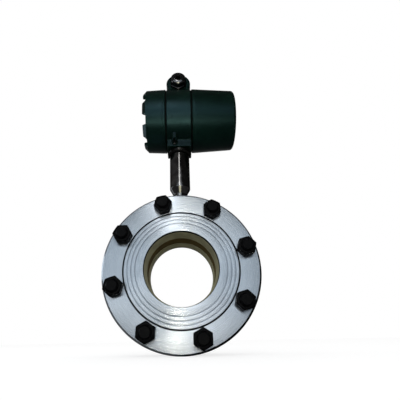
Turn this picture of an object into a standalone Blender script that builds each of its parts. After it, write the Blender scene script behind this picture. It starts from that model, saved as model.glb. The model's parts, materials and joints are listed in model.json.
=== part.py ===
"""Solids flow meter: a flanged sensor section for a powder pipe, with its transmitter housing.

The origin is the centre of the bore, half way along it. +Y runs along the pipe, away from the
front face, +Z runs up the stem to the housing, and +X runs along the housing to its long cover.
"""

import math

import bmesh
import bpy
from mathutils import Matrix

MM = 0.001

# Gaps between pieces that touch, and round pieces that turn
SEAT_GAP = 0.3 * MM
TURNING_GAP = 0.3 * MM

# How far a cutter runs past the face it cuts
OVERSHOOT = 1 * MM

# Bore and its sleeves
BORE_DIAMETER = 101 * MM
MOUTH_FLARE = 2.7 * MM
LINER_WALL = 4.5 * MM
LINER_LENGTH = 26.5 * MM
LINER_EDGE = 0.8 * MM
SENSING_RING_RECESS = 0.7 * MM
FLANGE_LIP = 1.2 * MM

# Sensor body between the flanges
SENSOR_BODY_WIDTH = 34.8 * MM
SENSOR_BODY_TO_BOLTS = 4 * MM
SENSOR_BODY_CHAMFER = 1.5 * MM
GASKET_THICKNESS = 2 * MM

# Flanges, from the bore outwards
FLANGE_THICKNESS = 22 * MM
FLANGE_CHAMFER = 2.5 * MM
BORE_TO_GROOVES = 9.5 * MM
GROOVE_COUNT = 4
GROOVE_PITCH = 5.5 * MM
GROOVE_WIDTH = 1.1 * MM
GROOVE_DEPTH = 0.8 * MM
LAND_GROOVE_WIDTH = 1.8 * MM
LAND_GROOVE_DEPTH = 3.5 * MM
LAND_TO_HOLES = 4 * MM
BOLTS_TO_RIM = 16.3 * MM

# Bolts and nuts
BOLT_COUNT = 8
FIRST_BOLT_ANGLE = 15.7
BOLT_DIAMETER = 16 * MM
BOLT_HOLE_CLEARANCE = 2 * MM
BOLT_END_CHAMFER = 1.5 * MM
BOLT_PROTRUSION = 5 * MM
HEX_FLATS_PER_DIAMETER = 1.5
BOLT_HEAD_HEIGHT = 10 * MM
NUT_HEIGHT = 14.8 * MM
HEX_CHAMFER_ANGLE = 30
HEX_FACE_SHARE = 0.95
NUT_TURNS = (15, 32, 12, 0, 18, 27, 29, 16)

# Stem and its lock collar
STEM_LOWER_DIAMETER = 23 * MM
STEM_UPPER_DIAMETER = 34.2 * MM
STEM_BORE = 12 * MM
STEM_SOCKET_DEPTH = 12 * MM
STEM_CONE_ABOVE_RIM = 18 * MM
STEM_CONE_LENGTH = 10.5 * MM
STEM_SHAFT_LENGTH = 66 * MM
STEM_SHOULDER_CHAMFER = 1.2 * MM
STEM_SPIGOT_DIAMETER = 24 * MM
STEM_SPIGOT_REACH = 11 * MM
SPOT_FACE_DEPTH = 3 * MM
SPOT_FACE_MARGIN = 5 * MM
COLLAR_DIAMETER = 39.7 * MM
COLLAR_HEIGHT = 6.6 * MM
COLLAR_CHAMFER = 2.6 * MM
STEM_SEAL_THICKNESS = 1.0 * MM
STEM_SEAL_DIAMETER = 34 * MM
LEAD_HOLE_DIAMETER = 8 * MM

# Transmitter housing
HOUSING_DIAMETER = 116 * MM
HOUSING_RING_WIDTH = 42.8 * MM
HOUSING_RING_CHAMFER = 1.0 * MM
COVER_RIM = 6.5 * MM
SPIGOT_LENGTH = 12 * MM
SPIGOT_WALL = 4 * MM
PARTITION_THICKNESS = 5 * MM
PARTITION_OFFSET = 10.5 * MM
FOOT_HEIGHT = 9.2 * MM
FOOT_WIDTH = 42.7 * MM
FOOT_DEPTH = 42 * MM
FOOT_EDGE = 1.6 * MM
BOSS_DIAMETER = 44.5 * MM
BOSS_RISE = 7 * MM
BOSS_FRONT_SETBACK = 26 * MM
BOSS_BACK_SETBACK = 28 * MM
BOSS_EDGE = 2.5 * MM
CONDUIT_BORE = 16 * MM
CONDUIT_DROP_BORE = 14 * MM
BREAKTHROUGH = 2 * MM

# Covers and their seals
COVER_SEAL_THICKNESS = 1.4 * MM
COVER_SEAL_RECESS = 1.6 * MM
COVER_THREAD_DEPTH = 2.6 * MM
COVER_WALL = 4.5 * MM
COVER_MOUTH_CHAMFER = 0.8 * MM
LEFT_COVER_LENGTH = 39.9 * MM
LEFT_COVER_TAPER = 1.5 * MM
LUG_COUNT = 8
LUG_HEIGHT = 6.3 * MM
LUG_CHAMFER = 6 * MM
LUG_RING_WIDTH = 13.5 * MM
LUG_RING_BASE = 1.0 * MM
LUG_DRAFT = 1.2 * MM
NOTCH_WIDTH = 16.4 * MM
FIRST_NOTCH_ANGLE = -31.5
RIGHT_COVER_LENGTH = 75.7 * MM
RIGHT_COVER_TAPER = 4 * MM
RIGHT_COVER_CORNER = 5 * MM

# Cable gland on the boss
GLAND_THREAD_DIAMETER = 19.4 * MM
GLAND_THREAD_LENGTH = 12 * MM
GLAND_HEX_ACROSS_FLATS = 29 * MM
GLAND_HEX_HEIGHT = 4 * MM
GLAND_NECK_DIAMETER = 20 * MM
GLAND_NECK_LENGTH = 7 * MM
GLAND_NUT_ACROSS_FLATS = 26 * MM
GLAND_NUT_DIAMETER = 27.8 * MM
GLAND_NUT_LENGTH = 11 * MM
GLAND_NUT_DOME = 5 * MM
GLAND_MOUTH_DIAMETER = 13 * MM
GLAND_SEAL_WALL = 2.2 * MM
GLAND_SEAL_LENGTH = 8 * MM
GLAND_SEAL_RECESS = 1.0 * MM

# Ground screw and the cast pad above it
SCREW_OFFSET = 8.2 * MM
SCREW_ABOVE_FOOT_BOTTOM = 6.2 * MM
SCREW_HEAD_DIAMETER = 7 * MM
SCREW_HEAD_HEIGHT = 2.4 * MM
SCREW_SHANK_DIAMETER = 4 * MM
SCREW_SHANK_LENGTH = 8 * MM
SCREW_SLOT = 1.1 * MM
PAD_WIDTH = 8 * MM
PAD_HEIGHT = 10.5 * MM
PAD_PROUD = 0.4 * MM

# Electronics inside the housing
BOARD_MARGIN = 8 * MM
BOARD_THICKNESS = 1.6 * MM
SPACER_COUNT = 4
SPACER_DIAMETER = 6 * MM
SPACER_LENGTH = 27 * MM
SPACER_FROM_BOARD_EDGE = 10 * MM
TERMINAL_WIDTH = 46 * MM
TERMINAL_HEIGHT = 22 * MM
TERMINAL_DEPTH = 14 * MM
TERMINAL_EDGE = 1.0 * MM
TERMINAL_COUNT = 4
TERMINAL_PITCH = 10 * MM
TERMINAL_WELL_DIAMETER = 7 * MM
TERMINAL_WELL_DEPTH = 5 * MM
TERMINAL_SCREW_DIAMETER = 5 * MM
TERMINAL_SCREW_HEIGHT = 3 * MM
LEAD_DIAMETER = 3.2 * MM
LEAD_BEND_RADIUS = 14 * MM
LEAD_BEND_STEPS = 8
LEAD_ABOVE_CHAMBER_BOTTOM = 12 * MM
LEAD_PASSAGE_DIAMETER = 9 * MM

# Facets round each kind of circle
FLANGE_FACETS = 44
RING_FACETS = 32
STEM_FACETS = 24
BOLT_FACETS = 16
HEX_FACETS = 18
SMALL_FACETS = 12

# Sizes that follow from the ones above
BORE_RADIUS = BORE_DIAMETER / 2
MOUTH_RADIUS = BORE_RADIUS + MOUTH_FLARE
SLEEVE_RADIUS = BORE_RADIUS + LINER_WALL
SLEEVE_HOLE_RADIUS = SLEEVE_RADIUS + SEAT_GAP
FIRST_GROOVE_RADIUS = SLEEVE_HOLE_RADIUS + BORE_TO_GROOVES
LAND_RADIUS = FIRST_GROOVE_RADIUS + (GROOVE_COUNT - 1) * GROOVE_PITCH + LAND_GROOVE_WIDTH / 2
BOLT_RADIUS = BOLT_DIAMETER / 2
BOLT_HOLE_RADIUS = BOLT_RADIUS + BOLT_HOLE_CLEARANCE / 2
BOLT_CIRCLE_RADIUS = LAND_RADIUS + LAND_TO_HOLES + BOLT_HOLE_RADIUS
HEX_ACROSS_FLATS = BOLT_DIAMETER * HEX_FLATS_PER_DIAMETER
FLANGE_RADIUS = BOLT_CIRCLE_RADIUS + BOLTS_TO_RIM
FLANGE_INNER_FACE = SENSOR_BODY_WIDTH / 2 + GASKET_THICKNESS + 2 * SEAT_GAP
FLANGE_OUTER_FACE = FLANGE_INNER_FACE + FLANGE_THICKNESS
BOLT_LENGTH = 2 * (FLANGE_OUTER_FACE + SEAT_GAP) + NUT_HEIGHT + BOLT_PROTRUSION
SENSOR_BODY_RADIUS = BOLT_CIRCLE_RADIUS - BOLT_RADIUS - SENSOR_BODY_TO_BOLTS
STEM_BOTTOM = SENSOR_BODY_RADIUS - STEM_SOCKET_DEPTH + SEAT_GAP
STEM_CONE_BOTTOM = FLANGE_RADIUS + STEM_CONE_ABOVE_RIM
STEM_CONE_TOP = STEM_CONE_BOTTOM + STEM_CONE_LENGTH
STEM_SHOULDER = STEM_CONE_TOP + STEM_SHAFT_LENGTH
STEM_SPIGOT_RADIUS = STEM_SPIGOT_DIAMETER / 2
COLLAR_BOTTOM = STEM_SHOULDER + SEAT_GAP
COLLAR_TOP = COLLAR_BOTTOM + COLLAR_HEIGHT
STEM_SEAL_BOTTOM = COLLAR_TOP + SEAT_GAP
STEM_SEAL_TOP = STEM_SEAL_BOTTOM + STEM_SEAL_THICKNESS
FOOT_BOTTOM = STEM_SEAL_TOP + SEAT_GAP
FOOT_FRONT = FOOT_DEPTH / 2
STEM_TOP = FOOT_BOTTOM + STEM_SPIGOT_REACH
HOUSING_RADIUS = HOUSING_DIAMETER / 2
SPIGOT_RADIUS = HOUSING_RADIUS - COVER_RIM
CHAMBER_RADIUS = SPIGOT_RADIUS - SPIGOT_WALL
HOUSING_BOTTOM = FOOT_BOTTOM + FOOT_HEIGHT
HOUSING_AXIS_HEIGHT = HOUSING_BOTTOM + HOUSING_RADIUS
CHAMBER_BOTTOM = HOUSING_AXIS_HEIGHT - CHAMBER_RADIUS
CHAMBER_TOP = HOUSING_AXIS_HEIGHT + CHAMBER_RADIUS
BOSS_AXIS_HEIGHT = HOUSING_AXIS_HEIGHT + HOUSING_RADIUS + BOSS_RISE
BOSS_FRONT = HOUSING_RADIUS - BOSS_FRONT_SETBACK
BOSS_BACK = HOUSING_RADIUS - BOSS_BACK_SETBACK
PAD_TOP = HOUSING_BOTTOM + PAD_HEIGHT
SCREW_AXIS_HEIGHT = FOOT_BOTTOM + SCREW_ABOVE_FOOT_BOTTOM
RING_SIDE = HOUSING_RING_WIDTH / 2
SPIGOT_END = RING_SIDE + SPIGOT_LENGTH
PARTITION_LEFT = PARTITION_OFFSET - PARTITION_THICKNESS / 2
PARTITION_RIGHT = PARTITION_OFFSET + PARTITION_THICKNESS / 2
COVER_MOUTH = RING_SIDE + 2 * SEAT_GAP + COVER_SEAL_THICKNESS
COVER_THREAD_RADIUS = SPIGOT_RADIUS + TURNING_GAP
COVER_THREAD_END = SPIGOT_END + COVER_THREAD_DEPTH
LEFT_COVER_END = COVER_MOUTH + LEFT_COVER_LENGTH
LEFT_COVER_END_RADIUS = HOUSING_RADIUS - LEFT_COVER_TAPER
LUG_BASE = LEFT_COVER_END - LUG_HEIGHT
LUG_RING_INNER_RADIUS = HOUSING_RADIUS - LUG_RING_WIDTH
RIGHT_COVER_END = COVER_MOUTH + RIGHT_COVER_LENGTH
GLAND_HEX_BACK = BOSS_FRONT + SEAT_GAP
GLAND_HEX_FRONT = GLAND_HEX_BACK + GLAND_HEX_HEIGHT
GLAND_NUT_BACK = GLAND_HEX_FRONT + SEAT_GAP
GLAND_NUT_FRONT = GLAND_NUT_BACK + GLAND_NUT_LENGTH
GLAND_NECK_FRONT = GLAND_HEX_FRONT + GLAND_NECK_LENGTH
GLAND_MOUTH_RADIUS = GLAND_MOUTH_DIAMETER / 2
BOARD_RADIUS = CHAMBER_RADIUS - BOARD_MARGIN
BOARD_BACK = PARTITION_RIGHT + SPACER_LENGTH + 2 * SEAT_GAP
TERMINAL_BACK = PARTITION_LEFT - SEAT_GAP
LEAD_CROSSING_HEIGHT = CHAMBER_BOTTOM + LEAD_ABOVE_CHAMBER_BOTTOM
HOUSING_POINT = (0, 0, HOUSING_AXIS_HEIGHT)
BOSS_POINT = (0, 0, BOSS_AXIS_HEIGHT)
SCREW_POINT = (-SCREW_OFFSET, 0, SCREW_AXIS_HEIGHT)

# Finishes: colour, roughness, metallic
TURNED_STEEL = ((0.55, 0.60, 0.64), 0.30, 1.0)
DARK_STEEL = ((0.14, 0.14, 0.15), 0.22, 1.0)
BLACK_STEEL = ((0.02, 0.02, 0.025), 0.45, 0.6)
GREEN_PAINT = ((0.012, 0.045, 0.040), 0.40, 0.0)
CHROME = ((0.75, 0.75, 0.77), 0.12, 1.0)
OLIVE_LINING = ((0.085, 0.070, 0.040), 0.55, 0.0)
DARK_CERAMIC = ((0.02, 0.02, 0.018), 0.50, 0.0)
BLACK_RUBBER = ((0.015, 0.015, 0.015), 0.70, 0.0)
BOARD_GREEN = ((0.02, 0.16, 0.06), 0.50, 0.0)
GREY_PLASTIC = ((0.30, 0.31, 0.32), 0.50, 0.0)

SHARP_ANGLE = math.radians(32)


def clear_scene():
    """Remove every object of the start-up scene."""
    for obj in list(bpy.data.objects):
        bpy.data.objects.remove(obj, do_unlink=True)


def new_collection(name):
    collection = bpy.data.collections.new(name)
    bpy.context.scene.collection.children.link(collection)
    return collection


def material(name, finish):
    """A Principled material from a (colour, roughness, metallic) finish."""
    colour, roughness, metallic = finish
    made = bpy.data.materials.new(name)
    made.use_nodes = True
    shader = made.node_tree.nodes["Principled BSDF"]
    shader.inputs["Base Color"].default_value = (*colour, 1)
    shader.inputs["Roughness"].default_value = roughness
    shader.inputs["Metallic"].default_value = metallic
    made.diffuse_color = (*colour, 1)
    return made


def axis_turn(axis, turn=0):
    """The rotation that points local +Z along a row axis, after a turn in degrees about local Z."""
    tilts = {
        "+Z": Matrix.Identity(4),
        "+X": Matrix.Rotation(math.radians(90), 4, "Y"),
        "-X": Matrix.Rotation(math.radians(-90), 4, "Y"),
        "+Y": Matrix.Rotation(math.radians(-90), 4, "X"),
        "-Y": Matrix.Rotation(math.radians(90), 4, "X"),
    }
    return tilts[axis] @ Matrix.Rotation(math.radians(turn), 4, "Z")


def new_object(name, data, axis="+Z", origin=(0, 0, 0), turn=0):
    """An object in the cutters' collection, until finish_piece makes it a piece."""
    obj = bpy.data.objects.new(name, data)
    obj.location = origin
    obj.rotation_euler = axis_turn(axis, turn).to_euler()
    obj.hide_render = True
    obj.display_type = "WIRE"
    bpy.data.collections["cutters"].objects.link(obj)
    return obj


def turned(name, profile, facets, axis="+Z", origin=(0, 0, 0)):
    """A turned solid. Its (radius, height) profile runs down the outer side, and back up any bore."""
    mesh = bpy.data.meshes.new(name)
    edges = [(i, i + 1) for i in range(len(profile) - 1)]
    if profile[0][0] > 0:
        edges.append((len(profile) - 1, 0))
    mesh.from_pydata([(radius, 0, height) for radius, height in profile], edges, [])
    obj = new_object(name, mesh, axis, origin)
    screw = obj.modifiers.new("Turn", "SCREW")
    screw.steps = screw.render_steps = facets
    screw.use_merge_vertices = True
    screw.merge_threshold = 0.00001
    return obj


def prism(name, radius, bottom, top, facets, axis="+Z", origin=(0, 0, 0), turn=0):
    """A cylinder, or a hexagon bar at six facets, from a bottom to a top height along its axis."""
    shape = bmesh.new()
    middle = Matrix.Translation((0, 0, (bottom + top) / 2))
    first_corner = Matrix.Rotation(math.radians(-90), 4, "Z")
    bmesh.ops.create_cone(
        shape,
        cap_ends=True,
        segments=facets,
        radius1=radius,
        radius2=radius,
        depth=top - bottom,
        matrix=middle @ first_corner,
    )
    mesh = bpy.data.meshes.new(name)
    shape.to_mesh(mesh)
    shape.free()
    return new_object(name, mesh, axis, origin, turn)


def block(name, low, high, axis="+Z", origin=(0, 0, 0), turn=0):
    """A box between two corners."""
    shape = bmesh.new()
    sides = [b - a for a, b in zip(low, high)]
    middle = [(a + b) / 2 for a, b in zip(low, high)]
    bmesh.ops.create_cube(
        shape, size=1, matrix=Matrix.Translation(middle) @ Matrix.Diagonal((*sides, 1))
    )
    mesh = bpy.data.meshes.new(name)
    shape.to_mesh(mesh)
    shape.free()
    return new_object(name, mesh, axis, origin, turn)


def bevel(obj, width, segments=2):
    modifier = obj.modifiers.new("Edges", "BEVEL")
    modifier.width = width
    modifier.segments = segments
    modifier.limit_method = "ANGLE"
    return obj


def combine(obj, operation, *others):
    """Join other solids to this one, or cut them out of it, in the order given."""
    for other in others:
        modifier = obj.modifiers.new(other.name, "BOOLEAN")
        modifier.operation = operation
        modifier.solver = "EXACT"
        modifier.object = other
    return obj


def finish_piece(obj, finish, parent=None):
    """Apply the modifiers, shade the round faces smooth and move the object to the meter's pieces."""
    bpy.context.view_layer.update()
    graph = bpy.context.evaluated_depsgraph_get()
    mesh = bpy.data.meshes.new_from_object(obj.evaluated_get(graph))
    obj.modifiers.clear()
    obj.data = mesh
    mesh.shade_smooth()
    mesh.set_sharp_from_angle(angle=SHARP_ANGLE)
    mesh.materials.clear()
    mesh.materials.append(material(obj.name, finish))
    bpy.data.collections["cutters"].objects.unlink(obj)
    bpy.data.collections["solids_flow_meter"].objects.link(obj)
    obj.hide_render = False
    obj.display_type = "TEXTURED"
    attach(obj, parent)
    return obj


def attach(obj, parent):
    """Parent an object where it stands."""
    if parent is not None:
        obj.parent = parent
        obj.matrix_parent_inverse = parent.matrix_world.inverted()


def copy_piece(obj, name, origin, axis="+Z", turn=0, parent=None):
    """Another object of the same mesh, at its own place and turn."""
    made = bpy.data.objects.new(name, obj.data)
    made.location = origin
    made.rotation_euler = axis_turn(axis, turn).to_euler()
    bpy.data.collections["solids_flow_meter"].objects.link(made)
    attach(made, parent)
    return made


def pivot(name, location):
    """An empty on a joint's axis."""
    empty = bpy.data.objects.new(name, None)
    empty.location = location
    bpy.data.collections["solids_flow_meter"].objects.link(empty)
    bpy.context.view_layer.update()
    return empty


def on_circle(radius, count, first_angle=0.0):
    """(x, z, angle in degrees) of points spaced round a circle."""
    for i in range(count):
        angle = first_angle + 360 * i / count
        yield radius * math.cos(math.radians(angle)), radius * math.sin(math.radians(angle)), angle


def arc(centre, radius, start, end, steps):
    """Points of an arc in a profile, angles in degrees from the radius direction."""
    for i in range(steps + 1):
        angle = math.radians(start + (end - start) * i / steps)
        yield centre[0] + radius * math.cos(angle), centre[1] + radius * math.sin(angle)


def ring_profile(inner, outer, bottom, top, chamfer=0.0):
    """A ring of rectangular section, with its outer edges chamfered where asked."""
    if not chamfer:
        return [(inner, top), (outer, top), (outer, bottom), (inner, bottom)]
    return [
        (inner, top),
        (outer - chamfer, top),
        (outer, top - chamfer),
        (outer, bottom + chamfer),
        (outer - chamfer, bottom),
        (inner, bottom),
    ]


def flange_profile():
    """One flange, its inner face at height 0: the lip that stops the liner, then the face's grooves."""
    under_lip = FLANGE_THICKNESS - FLANGE_LIP
    profile = [(SLEEVE_HOLE_RADIUS, under_lip), (MOUTH_RADIUS, under_lip), (MOUTH_RADIUS, FLANGE_THICKNESS)]
    for i in range(GROOVE_COUNT):
        is_last = i == GROOVE_COUNT - 1
        radius = FIRST_GROOVE_RADIUS + i * GROOVE_PITCH
        half = (LAND_GROOVE_WIDTH if is_last else GROOVE_WIDTH) / 2
        depth = LAND_GROOVE_DEPTH if is_last else GROOVE_DEPTH
        profile += [
            (radius - half, FLANGE_THICKNESS),
            (radius, FLANGE_THICKNESS - depth),
            (radius + half, FLANGE_THICKNESS),
        ]
    profile += [
        (FLANGE_RADIUS - FLANGE_CHAMFER, FLANGE_THICKNESS),
        (FLANGE_RADIUS, FLANGE_THICKNESS - FLANGE_CHAMFER),
        (FLANGE_RADIUS, FLANGE_CHAMFER),
        (FLANGE_RADIUS - FLANGE_CHAMFER, 0),
        (SLEEVE_HOLE_RADIUS, 0),
    ]
    return profile


def make_flanges():
    """The front and rear flange, with the bolt holes."""
    holes = []
    reach = FLANGE_OUTER_FACE + OVERSHOOT
    for i, (x, z, _) in enumerate(on_circle(BOLT_CIRCLE_RADIUS, BOLT_COUNT, FIRST_BOLT_ANGLE)):
        name = f"bolt_hole_{i + 1}"
        holes.append(prism(name, BOLT_HOLE_RADIUS, -reach, reach, SMALL_FACETS, "+Y", (x, 0, z)))
    for name, axis, side in (("front_flange", "-Y", -1), ("rear_flange", "+Y", 1)):
        origin = (0, side * FLANGE_INNER_FACE, 0)
        flange = turned(name, flange_profile(), FLANGE_FACETS, axis, origin)
        combine(flange, "DIFFERENCE", *holes)
        finish_piece(flange, TURNED_STEEL)


def make_sleeves():
    """The front liner, which widens to the mouth, the rear liner, and the sensing ring between them."""
    inner_end = FLANGE_OUTER_FACE - FLANGE_LIP - SEAT_GAP - LINER_LENGTH
    for name, axis, side, mouth in (
        ("front_liner", "-Y", -1, MOUTH_RADIUS),
        ("rear_liner", "+Y", 1, BORE_RADIUS),
    ):
        liner = [
            (mouth + LINER_EDGE, LINER_LENGTH),
            (SLEEVE_RADIUS, LINER_LENGTH),
            (SLEEVE_RADIUS, 0),
            (BORE_RADIUS, 0),
            (mouth, LINER_LENGTH - LINER_EDGE),
        ]
        sleeve = turned(name, liner, RING_FACETS, axis, (0, side * inner_end, 0))
        finish_piece(sleeve, OLIVE_LINING)
    half = inner_end - SEAT_GAP
    profile = ring_profile(BORE_RADIUS + SENSING_RING_RECESS, SLEEVE_RADIUS, -half, half)
    finish_piece(turned("sensing_ring", profile, RING_FACETS, "+Y"), DARK_CERAMIC)


def make_sensor_body():
    """The wafer between the flanges, with the stem's socket and the lead's hole down to the ring."""
    half = SENSOR_BODY_WIDTH / 2
    profile = ring_profile(SLEEVE_HOLE_RADIUS, SENSOR_BODY_RADIUS, -half, half, SENSOR_BODY_CHAMFER)
    body = turned("sensor_body", profile, RING_FACETS, "+Y")
    above = SENSOR_BODY_RADIUS + OVERSHOOT
    socket = STEM_LOWER_DIAMETER / 2 + SEAT_GAP
    face = socket + SPOT_FACE_MARGIN
    combine(
        body,
        "DIFFERENCE",
        prism("spot_face", face, SENSOR_BODY_RADIUS - SPOT_FACE_DEPTH, above, STEM_FACETS),
        prism("stem_socket", socket, SENSOR_BODY_RADIUS - STEM_SOCKET_DEPTH, above, STEM_FACETS),
        prism("lead_hole", LEAD_HOLE_DIAMETER / 2, 0, above, SMALL_FACETS),
    )
    finish_piece(body, TURNED_STEEL)


def make_gaskets():
    """The gasket on each side of the sensor body."""
    inner = SENSOR_BODY_WIDTH / 2 + SEAT_GAP
    profile = ring_profile(SLEEVE_HOLE_RADIUS, SENSOR_BODY_RADIUS, inner, inner + GASKET_THICKNESS)
    for name, axis in (("front_gasket", "-Y"), ("rear_gasket", "+Y")):
        finish_piece(turned(name, profile, RING_FACETS, axis), BLACK_RUBBER)


def hexagon(name, across_flats, bottom, top, chamfers, axis="+Z", origin=(0, 0, 0)):
    """A hexagon bar whose corners are turned off at the ends named in chamfers."""
    flat = across_flats / 2
    corner = flat / math.cos(math.radians(30))
    clear = corner + OVERSHOOT
    face = flat * HEX_FACE_SHARE
    drop = (clear - face) * math.tan(math.radians(HEX_CHAMFER_ANGLE))
    bar = prism(name, corner, bottom, top, 6, axis, origin)
    profile = [(0, top + OVERSHOOT), (clear, top + OVERSHOOT)]
    if "top" in chamfers:
        profile = [(0, top), (face, top), (clear, top - drop)]
    if "bottom" in chamfers:
        profile += [(clear, bottom + drop), (face, bottom), (0, bottom)]
    else:
        profile += [(clear, bottom - OVERSHOOT), (0, bottom - OVERSHOOT)]
    rounding = turned(name + "_rounding", profile, HEX_FACETS, axis, origin)
    return combine(bar, "INTERSECT", rounding)


def make_bolts():
    """The through bolts, put in from behind."""
    seat = FLANGE_OUTER_FACE + SEAT_GAP
    bolt = None
    for i, (x, z, angle) in enumerate(on_circle(BOLT_CIRCLE_RADIUS, BOLT_COUNT, FIRST_BOLT_ANGLE)):
        place = (x, seat, z)
        if bolt:
            copy_piece(bolt, f"bolt_{i + 1}", place, "+Y", angle)
            continue
        shank = [
            (0, BOLT_HEAD_HEIGHT / 2),
            (BOLT_RADIUS, BOLT_HEAD_HEIGHT / 2),
            (BOLT_RADIUS, BOLT_END_CHAMFER - BOLT_LENGTH),
            (BOLT_RADIUS - BOLT_END_CHAMFER, -BOLT_LENGTH),
            (0, -BOLT_LENGTH),
        ]
        bolt = hexagon("bolt_1", HEX_ACROSS_FLATS, 0, BOLT_HEAD_HEIGHT, ["top"], "+Y", place)
        combine(bolt, "UNION", turned("bolt_shank", shank, BOLT_FACETS, "+Y", place))
        finish_piece(bolt, BLACK_STEEL)


def make_nuts():
    """The nuts on the front flange, each stopped at its own turn."""
    seat = -FLANGE_OUTER_FACE - SEAT_GAP
    nut = hexagon("nut_1", HEX_ACROSS_FLATS, 0, NUT_HEIGHT, ["top", "bottom"])
    top = NUT_HEIGHT + OVERSHOOT
    combine(nut, "DIFFERENCE", prism("nut_hole", BOLT_RADIUS + SEAT_GAP, -OVERSHOOT, top, BOLT_FACETS))
    finish_piece(nut, BLACK_STEEL)
    for i, (x, z, _) in enumerate(on_circle(BOLT_CIRCLE_RADIUS, BOLT_COUNT, FIRST_BOLT_ANGLE)):
        turn = NUT_TURNS[i % len(NUT_TURNS)]
        if i:
            copy_piece(nut, f"nut_{i + 1}", (x, seat, z), "-Y", turn)
        else:
            nut.location = (x, seat, z)
            nut.rotation_euler = axis_turn("-Y", turn).to_euler()


def make_stem():
    """The stem, which carries the head: thin between the flanges, thick above them."""
    lower, upper, bore = STEM_LOWER_DIAMETER / 2, STEM_UPPER_DIAMETER / 2, STEM_BORE / 2
    profile = [
        (bore, STEM_TOP),
        (STEM_SPIGOT_RADIUS, STEM_TOP),
        (STEM_SPIGOT_RADIUS, STEM_SHOULDER),
        (upper - STEM_SHOULDER_CHAMFER, STEM_SHOULDER),
        (upper, STEM_SHOULDER - STEM_SHOULDER_CHAMFER),
        (upper, STEM_CONE_TOP),
        (lower, STEM_CONE_BOTTOM),
        (lower, STEM_BOTTOM),
        (bore, STEM_BOTTOM),
    ]
    finish_piece(turned("stem", profile, STEM_FACETS), DARK_STEEL)


def make_lock_collar():
    """The collar on the stem's spigot, and the seal between it and the housing's foot."""
    hole = STEM_SPIGOT_RADIUS + SEAT_GAP
    outer = COLLAR_DIAMETER / 2
    collar = [
        (hole, COLLAR_TOP),
        (outer, COLLAR_TOP),
        (outer, COLLAR_BOTTOM + COLLAR_CHAMFER),
        (outer - COLLAR_CHAMFER, COLLAR_BOTTOM),
        (hole, COLLAR_BOTTOM),
    ]
    finish_piece(turned("lock_collar", collar, STEM_FACETS), DARK_STEEL)
    seal = ring_profile(hole, STEM_SEAL_DIAMETER / 2, STEM_SEAL_BOTTOM, STEM_SEAL_TOP)
    finish_piece(turned("stem_seal", seal, STEM_FACETS), BLACK_RUBBER)


def housing_blank():
    """The outside of the casting: ring and spigots, foot, conduit boss and ground pad."""
    right = [
        (0, SPIGOT_END),
        (SPIGOT_RADIUS, SPIGOT_END),
        (SPIGOT_RADIUS, RING_SIDE),
        (HOUSING_RADIUS - HOUSING_RING_CHAMFER, RING_SIDE),
        (HOUSING_RADIUS, RING_SIDE - HOUSING_RING_CHAMFER),
    ]
    left = [(radius, -height) for radius, height in reversed(right)]
    housing = turned("housing", right + left, RING_FACETS, "+X", HOUSING_POINT)
    inside_wall = (HOUSING_BOTTOM + CHAMBER_BOTTOM) / 2
    half = FOOT_WIDTH / 2
    foot = block("foot", (-half, -FOOT_FRONT, FOOT_BOTTOM), (half, FOOT_FRONT, inside_wall))
    boss = prism("boss", BOSS_DIAMETER / 2, -BOSS_BACK, BOSS_FRONT, STEM_FACETS, "-Y", BOSS_POINT)
    ring_front = math.sqrt(HOUSING_RADIUS**2 - (HOUSING_AXIS_HEIGHT - PAD_TOP) ** 2)
    pad_left = -SCREW_OFFSET - PAD_WIDTH / 2
    pad = block(
        "pad",
        (pad_left, -ring_front - PAD_PROUD, HOUSING_BOTTOM + FOOT_EDGE),
        (pad_left + PAD_WIDTH, -FOOT_FRONT / 2, PAD_TOP),
    )
    bevel(foot, FOOT_EDGE)
    bevel(boss, BOSS_EDGE)
    return combine(housing, "UNION", foot, boss, pad)


def chamber_cutters():
    """The two chambers, open at the covers, and the lead's passage through the partition."""
    beyond = SPIGOT_END + OVERSHOOT
    passage = (0, 0, LEAD_CROSSING_HEIGHT)
    bore = LEAD_PASSAGE_DIAMETER / 2
    return [
        prism("left_chamber", CHAMBER_RADIUS, -beyond, PARTITION_LEFT, RING_FACETS, "+X", HOUSING_POINT),
        prism("right_chamber", CHAMBER_RADIUS, PARTITION_RIGHT, beyond, RING_FACETS, "+X", HOUSING_POINT),
        prism("lead_passage", bore, 0, SPIGOT_END, SMALL_FACETS, "+X", passage),
    ]


def stem_cutters():
    """The stem's socket in the foot, and the lead's way up into the chamber."""
    socket = STEM_SPIGOT_RADIUS + SEAT_GAP
    inside = CHAMBER_BOTTOM + BREAKTHROUGH
    return [
        prism("stem_hole", socket, FOOT_BOTTOM - OVERSHOOT, STEM_TOP + SEAT_GAP, STEM_FACETS),
        prism("stem_passage", STEM_BORE / 2, FOOT_BOTTOM, inside, SMALL_FACETS),
    ]


def conduit_cutters():
    """The gland's threaded hole in the boss, and the conduit from it down into the chamber."""
    thread = GLAND_THREAD_DIAMETER / 2 + SEAT_GAP
    thread_end = BOSS_FRONT - GLAND_THREAD_LENGTH - SEAT_GAP
    bore = CONDUIT_BORE / 2
    drop = CONDUIT_DROP_BORE / 2
    front = BOSS_FRONT + OVERSHOOT
    inside = CHAMBER_TOP - BREAKTHROUGH
    return [
        prism("gland_hole", thread, thread_end, front, STEM_FACETS, "-Y", BOSS_POINT),
        prism("conduit", bore, -bore, thread_end + OVERSHOOT, SMALL_FACETS, "-Y", BOSS_POINT),
        prism("conduit_drop", drop, inside, BOSS_AXIS_HEIGHT, SMALL_FACETS),
    ]


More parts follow.
